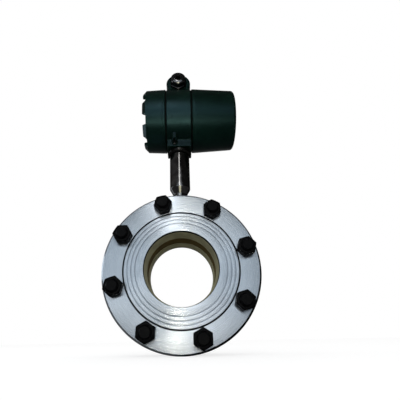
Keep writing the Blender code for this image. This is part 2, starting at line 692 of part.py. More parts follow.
def make_housing(head):
    """The housing casting."""
    screw_hole = SCREW_SHANK_DIAMETER / 2 + SEAT_GAP
    screw_end = FOOT_FRONT - SCREW_SHANK_LENGTH - SEAT_GAP
    front = FOOT_FRONT + OVERSHOOT
    cutters = chamber_cutters() + stem_cutters() + conduit_cutters()
    cutters.append(prism("screw_hole", screw_hole, screw_end, front, SMALL_FACETS, "-Y", SCREW_POINT))
    finish_piece(combine(housing_blank(), "DIFFERENCE", *cutters), GREEN_PAINT, head)


def left_cover_profile():
    """The short cover: mouth on the spigot, end plate, and the ring that the lugs are cut from."""
    plate = LUG_BASE - LUG_RING_BASE
    inner_end = plate - COVER_WALL
    return [
        (0, plate),
        (LUG_RING_INNER_RADIUS, plate),
        (LUG_RING_INNER_RADIUS + LUG_DRAFT, LEFT_COVER_END),
        (LEFT_COVER_END_RADIUS - LUG_CHAMFER, LEFT_COVER_END),
        (LEFT_COVER_END_RADIUS, LEFT_COVER_END - LUG_CHAMFER),
        (HOUSING_RADIUS, COVER_MOUTH + COVER_MOUTH_CHAMFER),
        (HOUSING_RADIUS - COVER_MOUTH_CHAMFER, COVER_MOUTH),
        (COVER_THREAD_RADIUS, COVER_MOUTH),
        (COVER_THREAD_RADIUS, COVER_THREAD_END),
        (LEFT_COVER_END_RADIUS - LUG_CHAMFER - COVER_WALL, inner_end),
        (0, inner_end),
    ]


def make_left_cover(head):
    """The short cover, with notches that leave the lugs its key turns it by."""
    cover = turned("left_cover", left_cover_profile(), RING_FACETS, "-X", HOUSING_POINT)
    notches = []
    for i in range(LUG_COUNT):
        turn = FIRST_NOTCH_ANGLE - 90 + 360 * i / LUG_COUNT
        low = (LUG_RING_INNER_RADIUS - OVERSHOOT, -NOTCH_WIDTH / 2, LUG_BASE)
        high = (HOUSING_RADIUS + OVERSHOOT, NOTCH_WIDTH / 2, LEFT_COVER_END + OVERSHOOT)
        notches.append(block(f"notch_{i + 1}", low, high, "-X", HOUSING_POINT, turn))
    combine(cover, "DIFFERENCE", *notches)
    finish_piece(cover, GREEN_PAINT, head)


def make_right_cover(head):
    """The long cover: slightly tapered, with a rounded end."""
    end_radius = HOUSING_RADIUS - RIGHT_COVER_TAPER
    corner = (end_radius - RIGHT_COVER_CORNER, RIGHT_COVER_END - RIGHT_COVER_CORNER)
    inner_end = RIGHT_COVER_END - COVER_WALL
    profile = [(0, RIGHT_COVER_END)]
    profile += arc(corner, RIGHT_COVER_CORNER, 90, 0, 4)
    profile += [
        (HOUSING_RADIUS, COVER_MOUTH + COVER_MOUTH_CHAMFER),
        (HOUSING_RADIUS - COVER_MOUTH_CHAMFER, COVER_MOUTH),
        (COVER_THREAD_RADIUS, COVER_MOUTH),
        (COVER_THREAD_RADIUS, COVER_THREAD_END),
        (end_radius - COVER_WALL, inner_end),
        (0, inner_end),
    ]
    cover = turned("right_cover", profile, RING_FACETS, "+X", HOUSING_POINT)
    finish_piece(cover, GREEN_PAINT, head)


def make_cover_seals(head):
    """The rubber ring between each cover and the housing ring."""
    outer = HOUSING_RADIUS - COVER_SEAL_RECESS
    bottom = RING_SIDE + SEAT_GAP
    profile = ring_profile(COVER_THREAD_RADIUS, outer, bottom, bottom + COVER_SEAL_THICKNESS)
    for name, axis in (("left_cover_seal", "-X"), ("right_cover_seal", "+X")):
        seal = turned(name, profile, RING_FACETS, axis, HOUSING_POINT)
        finish_piece(seal, BLACK_RUBBER, head)


def make_gland_body(head):
    """The gland's body: hexagon, the thread in the boss and the neck that takes the dome nut."""
    thread_end = BOSS_FRONT - GLAND_THREAD_LENGTH
    middle = (GLAND_HEX_BACK + GLAND_HEX_FRONT) / 2
    thread, neck = GLAND_THREAD_DIAMETER / 2, GLAND_NECK_DIAMETER / 2
    body = hexagon(
        "gland_body",
        GLAND_HEX_ACROSS_FLATS,
        GLAND_HEX_BACK,
        GLAND_HEX_FRONT,
        ["top"],
        "-Y",
        BOSS_POINT,
    )
    combine(
        body,
        "UNION",
        prism("gland_thread", thread, thread_end, middle, STEM_FACETS, "-Y", BOSS_POINT),
        prism("gland_neck", neck, middle, GLAND_NECK_FRONT, STEM_FACETS, "-Y", BOSS_POINT),
    )
    back, front = thread_end - OVERSHOOT, GLAND_NECK_FRONT + OVERSHOOT
    bore = prism("gland_bore", GLAND_MOUTH_RADIUS, back, front, STEM_FACETS, "-Y", BOSS_POINT)
    finish_piece(combine(body, "DIFFERENCE", bore), CHROME, head)


def make_gland_nut(head):
    """The dome nut: a hexagon turned round at its nose, hollow over the neck."""
    outer = GLAND_NUT_DIAMETER / 2
    hollow = GLAND_NECK_DIAMETER / 2 + TURNING_GAP
    shoulder = GLAND_NECK_FRONT + SEAT_GAP
    nose_width = outer - GLAND_MOUTH_RADIUS
    profile = []
    for out, up in arc((0, 0), 1, 90, 0, 3):
        height = GLAND_NUT_FRONT - (1 - up) * GLAND_NUT_DOME
        profile.append((GLAND_MOUTH_RADIUS + out * nose_width, height))
    profile += [
        (outer, GLAND_NUT_BACK - OVERSHOOT),
        (hollow, GLAND_NUT_BACK - OVERSHOOT),
        (hollow, shoulder),
        (GLAND_MOUTH_RADIUS, shoulder),
    ]
    corner = GLAND_NUT_ACROSS_FLATS / 2 / math.cos(math.radians(30))
    front = GLAND_NUT_FRONT + OVERSHOOT
    nut = prism("gland_nut", corner, GLAND_NUT_BACK, front, 6, "-Y", BOSS_POINT)
    combine(nut, "INTERSECT", turned("gland_nut_form", profile, STEM_FACETS, "-Y", BOSS_POINT))
    finish_piece(nut, CHROME, head)


def make_gland_seal(head):
    """The rubber bush that grips the cable."""
    outer = GLAND_MOUTH_RADIUS - SEAT_GAP
    front = GLAND_NUT_FRONT - GLAND_SEAL_RECESS
    profile = ring_profile(outer - GLAND_SEAL_WALL, outer, front - GLAND_SEAL_LENGTH, front)
    finish_piece(turned("gland_seal", profile, HEX_FACETS, "-Y", BOSS_POINT), BLACK_RUBBER, head)


def make_ground_screw(head):
    """The slotted screw on the foot's front face."""
    head_back = FOOT_FRONT + SEAT_GAP
    head_front = head_back + SCREW_HEAD_HEIGHT
    shank, rim = SCREW_SHANK_DIAMETER / 2, SCREW_HEAD_DIAMETER / 2
    edge = SCREW_HEAD_HEIGHT / 3
    profile = [
        (0, head_front),
        (rim - edge, head_front),
        (rim, head_front - edge),
        (rim, head_back),
        (shank, head_back),
        (shank, FOOT_FRONT - SCREW_SHANK_LENGTH),
        (0, FOOT_FRONT - SCREW_SHANK_LENGTH),
    ]
    screw = turned("ground_screw", profile, SMALL_FACETS, "-Y", SCREW_POINT)
    low = (-rim - OVERSHOOT, -SCREW_SLOT / 2, head_front - SCREW_HEAD_HEIGHT / 2)
    high = (rim + OVERSHOOT, SCREW_SLOT / 2, head_front + OVERSHOOT)
    slot = block("screw_slot", low, high, "-Y", SCREW_POINT)
    finish_piece(combine(screw, "DIFFERENCE", slot), CHROME, head)


def make_board(head):
    """The amplifier board, on spacers that stand on the partition."""
    front = BOARD_BACK + BOARD_THICKNESS
    board = prism("amplifier_board", BOARD_RADIUS, BOARD_BACK, front, STEM_FACETS, "+X", HOUSING_POINT)
    finish_piece(board, BOARD_GREEN, head)
    bottom = PARTITION_RIGHT + SEAT_GAP
    top = bottom + SPACER_LENGTH
    radius = SPACER_DIAMETER / 2
    circle = BOARD_RADIUS - SPACER_FROM_BOARD_EDGE
    for i, (y, z, _) in enumerate(on_circle(circle, SPACER_COUNT, 180 / SPACER_COUNT)):
        name = f"board_spacer_{i + 1}"
        point = (0, y, HOUSING_AXIS_HEIGHT + z)
        finish_piece(prism(name, radius, bottom, top, SMALL_FACETS, "+X", point), CHROME, head)


def make_terminals(head):
    """The terminal block on the partition, with a screw in each of its wells."""
    front = TERMINAL_BACK - TERMINAL_DEPTH
    well_floor = front + TERMINAL_WELL_DEPTH
    half_width, half_height = TERMINAL_WIDTH / 2, TERMINAL_HEIGHT / 2
    terminal = block(
        "terminal_block",
        (front, -half_width, -half_height),
        (TERMINAL_BACK, half_width, half_height),
        origin=HOUSING_POINT,
    )
    bevel(terminal, TERMINAL_EDGE, 1)
    well, screw = TERMINAL_WELL_DIAMETER / 2, TERMINAL_SCREW_DIAMETER / 2
    bottom = SEAT_GAP - well_floor
    top = bottom + TERMINAL_SCREW_HEIGHT
    for i in range(TERMINAL_COUNT):
        y = (i - (TERMINAL_COUNT - 1) / 2) * TERMINAL_PITCH
        point = (0, y, HOUSING_AXIS_HEIGHT)
        hole = prism(f"well_{i + 1}", well, -well_floor, OVERSHOOT - front, SMALL_FACETS, "-X", point)
        combine(terminal, "DIFFERENCE", hole)
        name = f"terminal_screw_{i + 1}"
        finish_piece(prism(name, screw, bottom, top, SMALL_FACETS, "-X", point), CHROME, head)
    finish_piece(terminal, GREY_PLASTIC, head)


def lead_route():
    """Points of the lead: up from the sensing ring, then over through the partition to the board."""
    bend_bottom = LEAD_CROSSING_HEIGHT - LEAD_BEND_RADIUS
    yield 0, 0, SLEEVE_HOLE_RADIUS
    centre = (-LEAD_BEND_RADIUS, bend_bottom)
    for radius, height in arc(centre, LEAD_BEND_RADIUS, 0, 90, LEAD_BEND_STEPS):
        yield -radius, 0, height
    yield BOARD_BACK - SEAT_GAP, 0, LEAD_CROSSING_HEIGHT


def make_signal_lead(head):
    """The lead from the sensing ring to the amplifier board."""
    points = list(lead_route())
    curve = bpy.data.curves.new("signal_lead", "CURVE")
    curve.dimensions = "3D"
    spline = curve.splines.new("POLY")
    spline.points.add(len(points) - 1)
    for place, point in zip(spline.points, points):
        place.co = (*point, 1)
    curve.bevel_depth = LEAD_DIAMETER / 2
    curve.bevel_resolution = 2
    curve.use_fill_caps = True
    curve.materials.append(material("signal_lead", BLACK_RUBBER))
    lead = bpy.data.objects.new("signal_lead", curve)
    bpy.data.collections["solids_flow_meter"].objects.link(lead)
    attach(lead, head)


def main():
    clear_scene()
    new_collection("solids_flow_meter")
    new_collection("cutters")
    head = pivot("head_pivot", (0, 0, STEM_SHOULDER))
    make_flanges()
    make_sleeves()
    make_sensor_body()
    make_gaskets()
    make_bolts()
    make_nuts()
    make_stem()
    make_lock_collar()
    make_housing(head)
    make_left_cover(head)
    make_right_cover(head)
    make_cover_seals(head)
    make_gland_body(head)
    make_gland_nut(head)
    make_gland_seal(head)
    make_ground_screw(head)
    make_board(head)
    make_terminals(head)
    make_signal_lead(head)


main()
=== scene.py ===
"""Solids flow meter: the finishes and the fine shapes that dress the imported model.

Metres, in the model's own frame: the origin is the centre of the bore, +Y runs along the pipe away
from the camera, +Z up the stem, and +X along the housing to its long cover. A turned piece has its
axis along its own local Z, so that every turned finish can follow local radius and height.
"""

import json
import math

import bmesh
import bpy
import numpy as np
from mathutils import Matrix, Vector

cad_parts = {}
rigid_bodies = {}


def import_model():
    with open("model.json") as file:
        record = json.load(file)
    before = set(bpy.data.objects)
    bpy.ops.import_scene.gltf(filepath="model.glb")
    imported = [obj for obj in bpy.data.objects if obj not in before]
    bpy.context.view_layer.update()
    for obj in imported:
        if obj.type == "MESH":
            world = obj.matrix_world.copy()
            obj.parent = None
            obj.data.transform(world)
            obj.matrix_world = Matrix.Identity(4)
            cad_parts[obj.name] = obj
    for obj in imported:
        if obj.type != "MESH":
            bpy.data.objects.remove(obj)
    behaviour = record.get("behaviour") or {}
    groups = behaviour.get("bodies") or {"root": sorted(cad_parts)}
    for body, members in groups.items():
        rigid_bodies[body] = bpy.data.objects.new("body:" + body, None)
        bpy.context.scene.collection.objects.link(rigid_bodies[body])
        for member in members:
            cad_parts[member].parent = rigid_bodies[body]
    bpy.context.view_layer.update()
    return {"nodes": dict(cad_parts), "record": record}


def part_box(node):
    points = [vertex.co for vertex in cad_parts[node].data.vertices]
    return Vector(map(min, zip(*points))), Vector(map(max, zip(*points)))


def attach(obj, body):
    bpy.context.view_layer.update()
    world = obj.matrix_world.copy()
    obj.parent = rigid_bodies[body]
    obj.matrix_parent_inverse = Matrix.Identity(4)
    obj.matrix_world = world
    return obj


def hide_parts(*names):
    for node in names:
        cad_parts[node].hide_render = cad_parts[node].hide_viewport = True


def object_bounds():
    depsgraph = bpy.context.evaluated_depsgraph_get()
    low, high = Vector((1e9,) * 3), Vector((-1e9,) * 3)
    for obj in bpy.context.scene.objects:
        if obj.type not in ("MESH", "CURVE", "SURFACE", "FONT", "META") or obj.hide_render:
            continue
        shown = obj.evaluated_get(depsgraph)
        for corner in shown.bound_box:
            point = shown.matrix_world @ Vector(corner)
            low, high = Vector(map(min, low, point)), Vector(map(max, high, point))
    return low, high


MM = 0.001

# Camera: where the photograph was taken from, and its frame in pixels
CAMERA_PLACE = Vector((0.0022, -0.478, -0.0935))
CAMERA_PITCH = math.radians(24.2)
CAMERA_ROLL = math.radians(-1.1)
CAMERA_FOCAL_PIXELS = 313.5
CAMERA_CENTRE_X = 181.65
PHOTO_PIXELS = 400
SENSOR_WIDTH = 36.0

# Angle under which two faces are shaded as one
SMOOTH_ANGLE = math.radians(35)

# Gap between two pieces that fit into each other
CLEARANCE = 0.3 * MM

# Facets round each kind of circle
WIDE_SEGMENTS = 256
ROUND_SEGMENTS = 128
SMALL_SEGMENTS = 64
CORNER_STEPS = 3

# Flange face: sealing grooves, then the wider groove at the edge of the land
GROOVE_RADII = (64.8 * MM, 70.3 * MM, 75.8 * MM)
GROOVE_WIDTH = 1.1 * MM
GROOVE_DEPTH = 0.8 * MM
LAND_GROOVE_RADIUS = 81.3 * MM
LAND_GROOVE_WIDTH = 1.8 * MM
LAND_GROOVE_DEPTH = 3.5 * MM
FLANGE_RADIUS = 111.5 * MM
FLANGE_CHAMFER = 2.5 * MM
FLANGE_LIP = 1.2 * MM
BOLT_COUNT = 8
BOLT_HOLE_DIAMETER = 18 * MM
HOLE_CHAMFER = 0.6 * MM

# Painted shade on the flanges and liners: in the step, along the front flange's edge, and in the liner's
# joint
STEP_SHADE_HALF_WIDTH = 1.1 * MM
RIM_SHADE_WIDTH = 3.0 * MM
RIM_SHADE_TOWARD = (0.80, -0.60, 0.0)
JOINT_SHADE_DEPTH = 4.2 * MM
PAINTED_SHADE_COLOUR = (0.004, 0.004, 0.004)
JOINT_SHADE_COLOUR = (0.004, 0.005, 0.005)

# How far back from its face the front flange is bright metal
BRIGHT_FACE_DEPTH = 3.1 * MM

# Sensor body: the wafer between the flanges, and the holes that the stem stands in
WAFER_CHAMFER = 1.5 * MM
WAFER_BAND_HALF_WIDTH = 5.0 * MM
WAFER_BAND_DEPTH = 0.6 * MM
WELL_RADIUS = 16.8 * MM
WELL_DEPTH = 3 * MM
SOCKET_RADIUS = 11.8 * MM
SOCKET_DEPTH = 12 * MM
LEAD_DRILL_RADIUS = 4 * MM
DRILL_TOP = 100 * MM

# Bolts and nuts, M16 with a 2 mm pitch
BOLT_RADIUS = 8 * MM
HEX_ACROSS_FLATS = 24 * MM
HEX_CORNER_ROUND = 0.5 * MM
HEX_FACE_SHARE = 0.95
HEX_CHAMFER_SLOPE = math.tan(math.radians(30))
BOLT_HEAD_HEIGHT = 10 * MM
WASHER_FACE_HEIGHT = 0.5 * MM
NUT_BORE_GAP = 0.04 * MM
NUT_COUNTERSINK = 1.0 * MM
THREAD_PITCH = 2 * MM
THREAD_DEPTH = 1.1 * MM
THREAD_LENGTH = 44 * MM
THREAD_ROWS_PER_TURN = 8
NUT_TURNS = (15, 32, 12, 0, 18, 27, 29, 16)
FLAT_TO_CORNER = 30

# Bore
BORE_RADIUS = 50.5 * MM
MOUTH_RADIUS = 53.2 * MM
LINER_EDGE = 0.8 * MM
LINER_RIDGE = ((3.0 * MM, 0), (3.4 * MM, 0.25 * MM), (4.2 * MM, 0.25 * MM), (4.6 * MM, 0))
RING_RECESS = 0.7 * MM

# Stem and collar
STEM_SHOULDER = 206 * MM
STEM_CONE_TOP = 140 * MM
STEM_CONE_BOTTOM = 129.5 * MM
STEM_LOWER_RADIUS = 11.5 * MM
STEM_UPPER_RADIUS = 17.1 * MM
STEM_SPIGOT_RADIUS = 12 * MM
STEM_BORE_RADIUS = 6 * MM
STEM_CHAMFER = 1.2 * MM
COLLAR_CHAMFER = 2.6 * MM
COLLAR_GROOVE_DEPTH = 0.35 * MM
COLLAR_GROOVE_HALF_WIDTH = 0.4 * MM

# Housing casting, about its own axis
HOUSING_HEIGHT = 281.7 * MM
HOUSING_POINT = (0, 0, HOUSING_HEIGHT)
RING_RADIUS = 58 * MM
RING_HALF_WIDTH = 21.4 * MM
SPIGOT_RADIUS = 51.5 * MM
SPIGOT_HALF_WIDTH = 33.4 * MM
CHAMBER_RADIUS = 47.5 * MM
PARTITION = (8 * MM, 13 * MM)
FOOT_HALF_WIDTH = 21.35 * MM
FOOT_HALF_DEPTH = 21 * MM
FOOT_BOTTOM = 214.5 * MM
FOOT_TOP = 231 * MM
BOSS_RADIUS = 22.25 * MM
BOSS_HEIGHT = 346.7 * MM
BOSS_FRONT = 32 * MM
BOSS_BACK = 30 * MM
PAD_CENTRE_X = -8.2 * MM
PAD_HALF_WIDTH = 4 * MM
PAD_TOP = 234.2 * MM
PAD_FRONT = 34.6 * MM
PAD_HALF_DEPTH = 12 * MM
PAD_ABOVE_FOOT = 4 * MM
FOOT_FILLET = 3.0 * MM
BOSS_FILLET = 3.5 * MM
PAD_FILLET = 1.2 * MM
CASTING_EDGE = 1.2 * MM
FOOT_EDGE = 1.6 * MM
PAD_EDGE = 1.5 * MM
SPIGOT_EDGE = 0.8 * MM
BOSS_EDGE = 2.5 * MM
GLAND_HOLE_RADIUS = 10 * MM
GLAND_THREAD_END = 19.7 * MM
CONDUIT_RADIUS = 8 * MM
CONDUIT_DROP_RADIUS = 7 * MM
STEM_HOLE_RADIUS = 12.3 * MM
STEM_HOLE_TOP = 225.8 * MM
SCREW_HOLE_RADIUS = 2.3 * MM
SCREW_HEIGHT = 220.7 * MM
LEAD_HEIGHT = 246.2 * MM
LEAD_HOLE_RADIUS = 4.5 * MM
CASTING_STEP = 0.9 * MM

# The ring and the foot start this much too wide, and are cut back to the casting's width
CUT_BACK = 1.2

# Covers
COVER_MOUTH = 23.4 * MM
COVER_MOUTH_EDGE = 0.8 * MM
COVER_THREAD_RADIUS = 51.8 * MM
COVER_THREAD_END = 36 * MM
COVER_WALL = 4.5 * MM
LEFT_COVER_END = 63.3 * MM
LEFT_COVER_END_RADIUS = 56.5 * MM
LUG_BASE = 57 * MM
LUG_COUNT = 8
LUG_RING_INNER_RADIUS = 44.5 * MM
LUG_CHAMFER = 6 * MM
LUG_DRAFT = 1.2 * MM
NOTCH_HALF_WIDTH = 8.2 * MM
NOTCH_SOFTNESS = 3.0 * MM
FIRST_NOTCH_ANGLE = math.radians(-31.5)
COVER_GROOVE_WIDTH = 1.0 * MM
COVER_GROOVE_DEPTH = 0.5 * MM
COVER_GROOVE_FROM_MOUTH = 4.6 * MM
RIGHT_COVER_END = 99.1 * MM
RIGHT_COVER_END_RADIUS = 54 * MM
RIGHT_COVER_CORNER = 5 * MM

# Gland
GLAND_THREAD_RADIUS = 9.7 * MM
GLAND_HEX_ACROSS_FLATS = 29 * MM
GLAND_NUT_ACROSS_FLATS = 26 * MM
GLAND_NUT_RADIUS = 13.9 * MM
GLAND_NUT_DOME = 5 * MM
GLAND_NUT_LENGTH = 11 * MM
GLAND_HEX_WIDTH = 4 * MM
GLAND_HEX_CORNER = 0.8 * MM
GLAND_THREAD_LENGTH = 12 * MM
GLAND_BUSH_WALL = 2.2 * MM
GLAND_BUSH_CHAMFER = 1.5 * MM
GLAND_MOUTH_RADIUS = 6.5 * MM
GLAND_NECK_RADIUS = 10 * MM
GLAND_NECK_FRONT = 43.3 * MM
GLAND_THREAD_PITCH = 1.5 * MM

# Ground screw
SCREW_HEAD_RADIUS = 3.5 * MM
SCREW_HEAD_HEIGHT = 2.4 * MM
SCREW_SHANK_RADIUS = 2 * MM
SCREW_SLOT = 1.1 * MM
SCREW_DEPTH = 8 * MM
SCREW_TURN = 25

# Studio: brightness of the room's light on the meter, and of the dim side that its gloss shows
AMBIENT_LIGHT = 0.62
ROOM_LIGHT = 0.02

# The side of the room that is brighter, how bright it is there, and how bright gloss shows the backdrop
BRIGHT_SIDE = (-0.95, 0, 0.31)
BRIGHT_SIDE_LIGHT = 0.10
BACKDROP_GLOSS = 0.25

# The white backdrop: which way it lies, and the cosines between which it fades into the room
BACKDROP_DIRECTION = (0, 0.912, 0.410)
BACKDROP_REACH = (0.78, 0.92)

# Floor: its size, its shade, the light that whitens it for the camera, and its shade in the meter's gloss
FLOOR_HALF = 12.0
FLOOR_COLOUR = (0.38, 0.38, 0.38)
FLOOR_GLOW = 0.75
FLOOR_IN_GLOSS = (0.10, 0.10, 0.10, 1.0)


def axis_turn(axis, turn=0.0):
    """The rotation that points local +Z along a row axis, after a turn in degrees about local Z."""
    tilts = {
        "+Z": Matrix.Identity(4),
        "+X": Matrix.Rotation(math.radians(90), 4, "Y"),
        "-X": Matrix.Rotation(math.radians(-90), 4, "Y"),
        "+Y": Matrix.Rotation(math.radians(-90), 4, "X"),
        "-Y": Matrix.Rotation(math.radians(90), 4, "X"),
    }
    return tilts[axis] @ Matrix.Rotation(math.radians(turn), 4, "Z")


def full_circle(segments):
    return [2 * math.pi * i / segments for i in range(segments)]


def scaled(colour, share):
    return tuple(c * share for c in colour)


def rounded(points, radius):
    """A closed outline with its corners rounded. Points on the axis stay sharp."""
    made = []
    count = len(points)
    for i, here in enumerate(points):
        before, after = points[i - 1], points[(i + 1) % count]
        if here[0] <= 0:
            made.append(here)
            continue
        to_before = Vector(before) - Vector(here)
        to_after = Vector(after) - Vector(here)
        cut = min(radius, to_before.length * 0.45, to_after.length * 0.45)
        start = Vector(here) + to_before.normalized() * cut
        end = Vector(here) + to_after.normalized() * cut
        for k in range(CORNER_STEPS + 1):
            t = k / CORNER_STEPS
            point = start * (1 - t) ** 2 + Vector(here) * 2 * t * (1 - t) + end * t**2
            made.append((point.x, point.y))
    return made


def polar_mesh(name, outline_at, angles):
    """A closed mesh from a (radius, height) outline at each angle, all with as many points.

    The outline runs down the outer side and back up the inner one, or starts and ends on the axis.
    """
    outlines = [outline_at(angle) for angle in angles]
    rows = len(outlines[0])
    turns = len(angles)
    vertices, faces, index = [], [], []
    for j in range(rows):
        on_axis = all(outline[j][0] <= 0 for outline in outlines)
        if on_axis:
            index.append([len(vertices)] * turns)
            vertices.append((0, 0, outlines[0][j][1]))
            continue
        index.append(list(range(len(vertices), len(vertices) + turns)))
        for angle, outline in zip(angles, outlines):
            radius, height = outline[j]
            vertices.append((radius * math.cos(angle), radius * math.sin(angle), height))
    is_ring = outlines[0][0][0] > 0
    for j in range(rows if is_ring else rows - 1):
        upper, lower = index[j], index[(j + 1) % rows]
        for i in range(turns):
            k = (i + 1) % turns
            corners = []
            for corner in (upper[i], lower[i], lower[k], upper[k]):
                if corner not in corners:
                    corners.append(corner)
            if len(corners) > 2:
                faces.append(corners)
    mesh = bpy.data.meshes.new(name)
    mesh.from_pydata(vertices, [], faces)
    mesh.validate()
    return mesh


def lathe_mesh(name, outline, segments):
    return polar_mesh(name, lambda angle: outline, full_circle(segments))


def shade(mesh):
    """Faces pointing out, and smooth shading with the real edges kept sharp."""
    shape = bmesh.new()
    shape.from_mesh(mesh)
    bmesh.ops.recalc_face_normals(shape, faces=shape.faces)
    shape.to_mesh(mesh)
    shape.free()
    mesh.shade_smooth()
    mesh.set_sharp_from_angle(angle=SMOOTH_ANGLE)


def new_piece(name, mesh, finish, body, node, axis="+Z", origin=(0, 0, 0), turn=0.0):
    """A piece of the object, with one of the finishes, riding on a body and standing for its CAD node.

    Pieces that share a mesh share its shading and finish.
    """
    if not mesh.materials:
        shade(mesh)
        mesh.materials.append(finishes[finish])
    piece = bpy.data.objects.new(name, mesh)
    bpy.context.scene.collection.objects.link(piece)
    piece.matrix_world = Matrix.Translation(origin) @ axis_turn(axis, turn)
    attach(piece, body)
    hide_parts(node)


def turned_piece(name, outline, corner, *dress, segments=WIDE_SEGMENTS):
    """A piece turned from one outline with rounded corners, dressed as new_piece has it."""
    new_piece(name, lathe_mesh(name, rounded(outline, corner), segments), *dress)


def boolean_mesh(name, base, cutters, operation="DIFFERENCE"):
    """A mesh with others cut out of it or joined to it, all in local space."""
    scene = bpy.context.scene
    body = bpy.data.objects.new(name, base)
    scene.collection.objects.link(body)
    helpers = []
    for mesh, matrix in cutters:
        helper = bpy.data.objects.new("helper", mesh)
        helper.matrix_world = matrix
        scene.collection.objects.link(helper)
        helpers.append(helper)
        modifier = body.modifiers.new("Cut", "BOOLEAN")
        modifier.operation = operation
        modifier.solver = "EXACT"
        modifier.object = helper
    bpy.context.view_layer.update()
    graph = bpy.context.evaluated_depsgraph_get()
    made = bpy.data.meshes.new_from_object(body.evaluated_get(graph))
    made.name = name
    for obj in (body, *helpers):
        bpy.data.objects.remove(obj)
    return made


class Nodes:
    """The node tree of a material or world, with short ways to add and join nodes."""

    def __init__(self, owner):
        owner.use_nodes = True
        self.owner = owner
        self.nodes = owner.node_tree.nodes

    def add(self, kind, inputs=None, **settings):
        node = self.nodes.new(kind)
        for key, value in settings.items():
            setattr(node, key, value)
        for key, value in (inputs or {}).items():
            self.put(node.inputs[key], value)
        return node

    def put(self, socket, value):
        if isinstance(value, bpy.types.NodeSocket):
            self.owner.node_tree.links.new(value, socket)
        else:
            socket.default_value = value

    def math(self, operation, a, b=0.0):
        return self.add("ShaderNodeMath", {0: a, 1: b}, operation=operation).outputs[0]

    def dot(self, a, b):
        return self.add("ShaderNodeVectorMath", {0: a, 1: b}, operation="DOT_PRODUCT").outputs["Value"]

    def place(self):
        """Object coordinates, which are about the piece's own axis."""
        return self.add("ShaderNodeTexCoord").outputs["Object"]

    def radius_and_height(self):
        """Distance from the local Z axis, and height along it."""
        parts = self.add("ShaderNodeSeparateXYZ", {0: self.place()}).outputs
        squares = [self.math("MULTIPLY", part, part) for part in parts[:2]]
        return self.math("SQRT", self.math("ADD", *squares)), parts[2]

    def noise(self, scale, detail=2.0):
        inputs = {"Vector": self.place(), "Scale": scale, "Detail": detail}
        return self.add("ShaderNodeTexNoise", inputs).outputs["Fac"]

    def line_noise(self, position, scale, detail=2.0):
        """Noise along one coordinate only: tool marks."""
        inputs = {"W": position, "Scale": scale, "Detail": detail}
        return self.add("ShaderNodeTexNoise", inputs, noise_dimensions="1D").outputs["Fac"]

    def ramp(self, value, low, high, out_low=0.0, out_high=1.0):
        inputs = {"Value": value, 1: low, 2: high, 3: out_low, 4: out_high}
        return self.add("ShaderNodeMapRange", inputs).outputs["Result"]

    def mix(self, factor, a, b):
        """Colour a at factor 0, b at 1."""
        node = self.add("ShaderNodeMix", {0: factor}, data_type="RGBA")
        for socket, value in ((node.inputs[6], a), (node.inputs[7], b)):
            self.put(socket, value if isinstance(value, bpy.types.NodeSocket) else (*value, 1.0))
        return node.outputs[2]

    def choose(self, factor, a, b):
        """Shader a at factor 0, b at 1."""
        return self.add("ShaderNodeMixShader", {0: factor, 1: a, 2: b}).outputs[0]

    def bump(self, height, strength, distance, normal=None):
        inputs = {"Height": height, "Strength": strength, "Distance": distance}
        if normal is not None:
            inputs["Normal"] = normal
        return self.add("ShaderNodeBump", inputs).outputs["Normal"]

    def edge_wear(self, reach):
        """From 0 on flat ground to 1 on the piece's edges, out of the bevelled normal."""
        bevel = self.add("ShaderNodeBevel", {"Radius": reach}, samples=4).outputs[0]
        flat = self.add("ShaderNodeNewGeometry").outputs["Normal"]
        return self.ramp(self.dot(bevel, flat), 0.995, 0.90)

    def finish(self, **values):
        """Set the surface shader's sockets, named with underscores for spaces."""
        for key, value in values.items():
            if isinstance(value, tuple):
                value = (*value, 1.0)
            self.put(self.nodes["Principled BSDF"].inputs[key.replace("_", " ")], value)
        return self.owner


def material_nodes(name):
    return Nodes(bpy.data.materials.new(name))


def flange_painted_shade(n, radius):
    """1 where shade is painted: in a flange's step and on its mouth's wall."""
    off_step = n.math("ABSOLUTE", n.math("SUBTRACT", radius, LAND_GROOVE_RADIUS))
    in_step = n.ramp(off_step, STEP_SHADE_HALF_WIDTH * 1.15, STEP_SHADE_HALF_WIDTH * 0.85)
    on_mouth = n.ramp(radius, MOUTH_RADIUS + 0.6 * MM, MOUTH_RADIUS + 0.3 * MM)
    return n.math("MAXIMUM", in_step, on_mouth)


def rim_painted_shade(n, radius):
    """1 on a crescent of painted shade along the flange's edge, which is widest toward one side."""
    share = n.math("DIVIDE", n.dot(n.place(), RIM_SHADE_TOWARD), radius)
    width = n.ramp(share, 0.30, 0.85, 0.0, RIM_SHADE_WIDTH)
    start = n.math("SUBTRACT", FLANGE_RADIUS - 0.2 * MM, width)
    return n.ramp(n.math("SUBTRACT", radius, start), 0.0, 0.4 * MM)


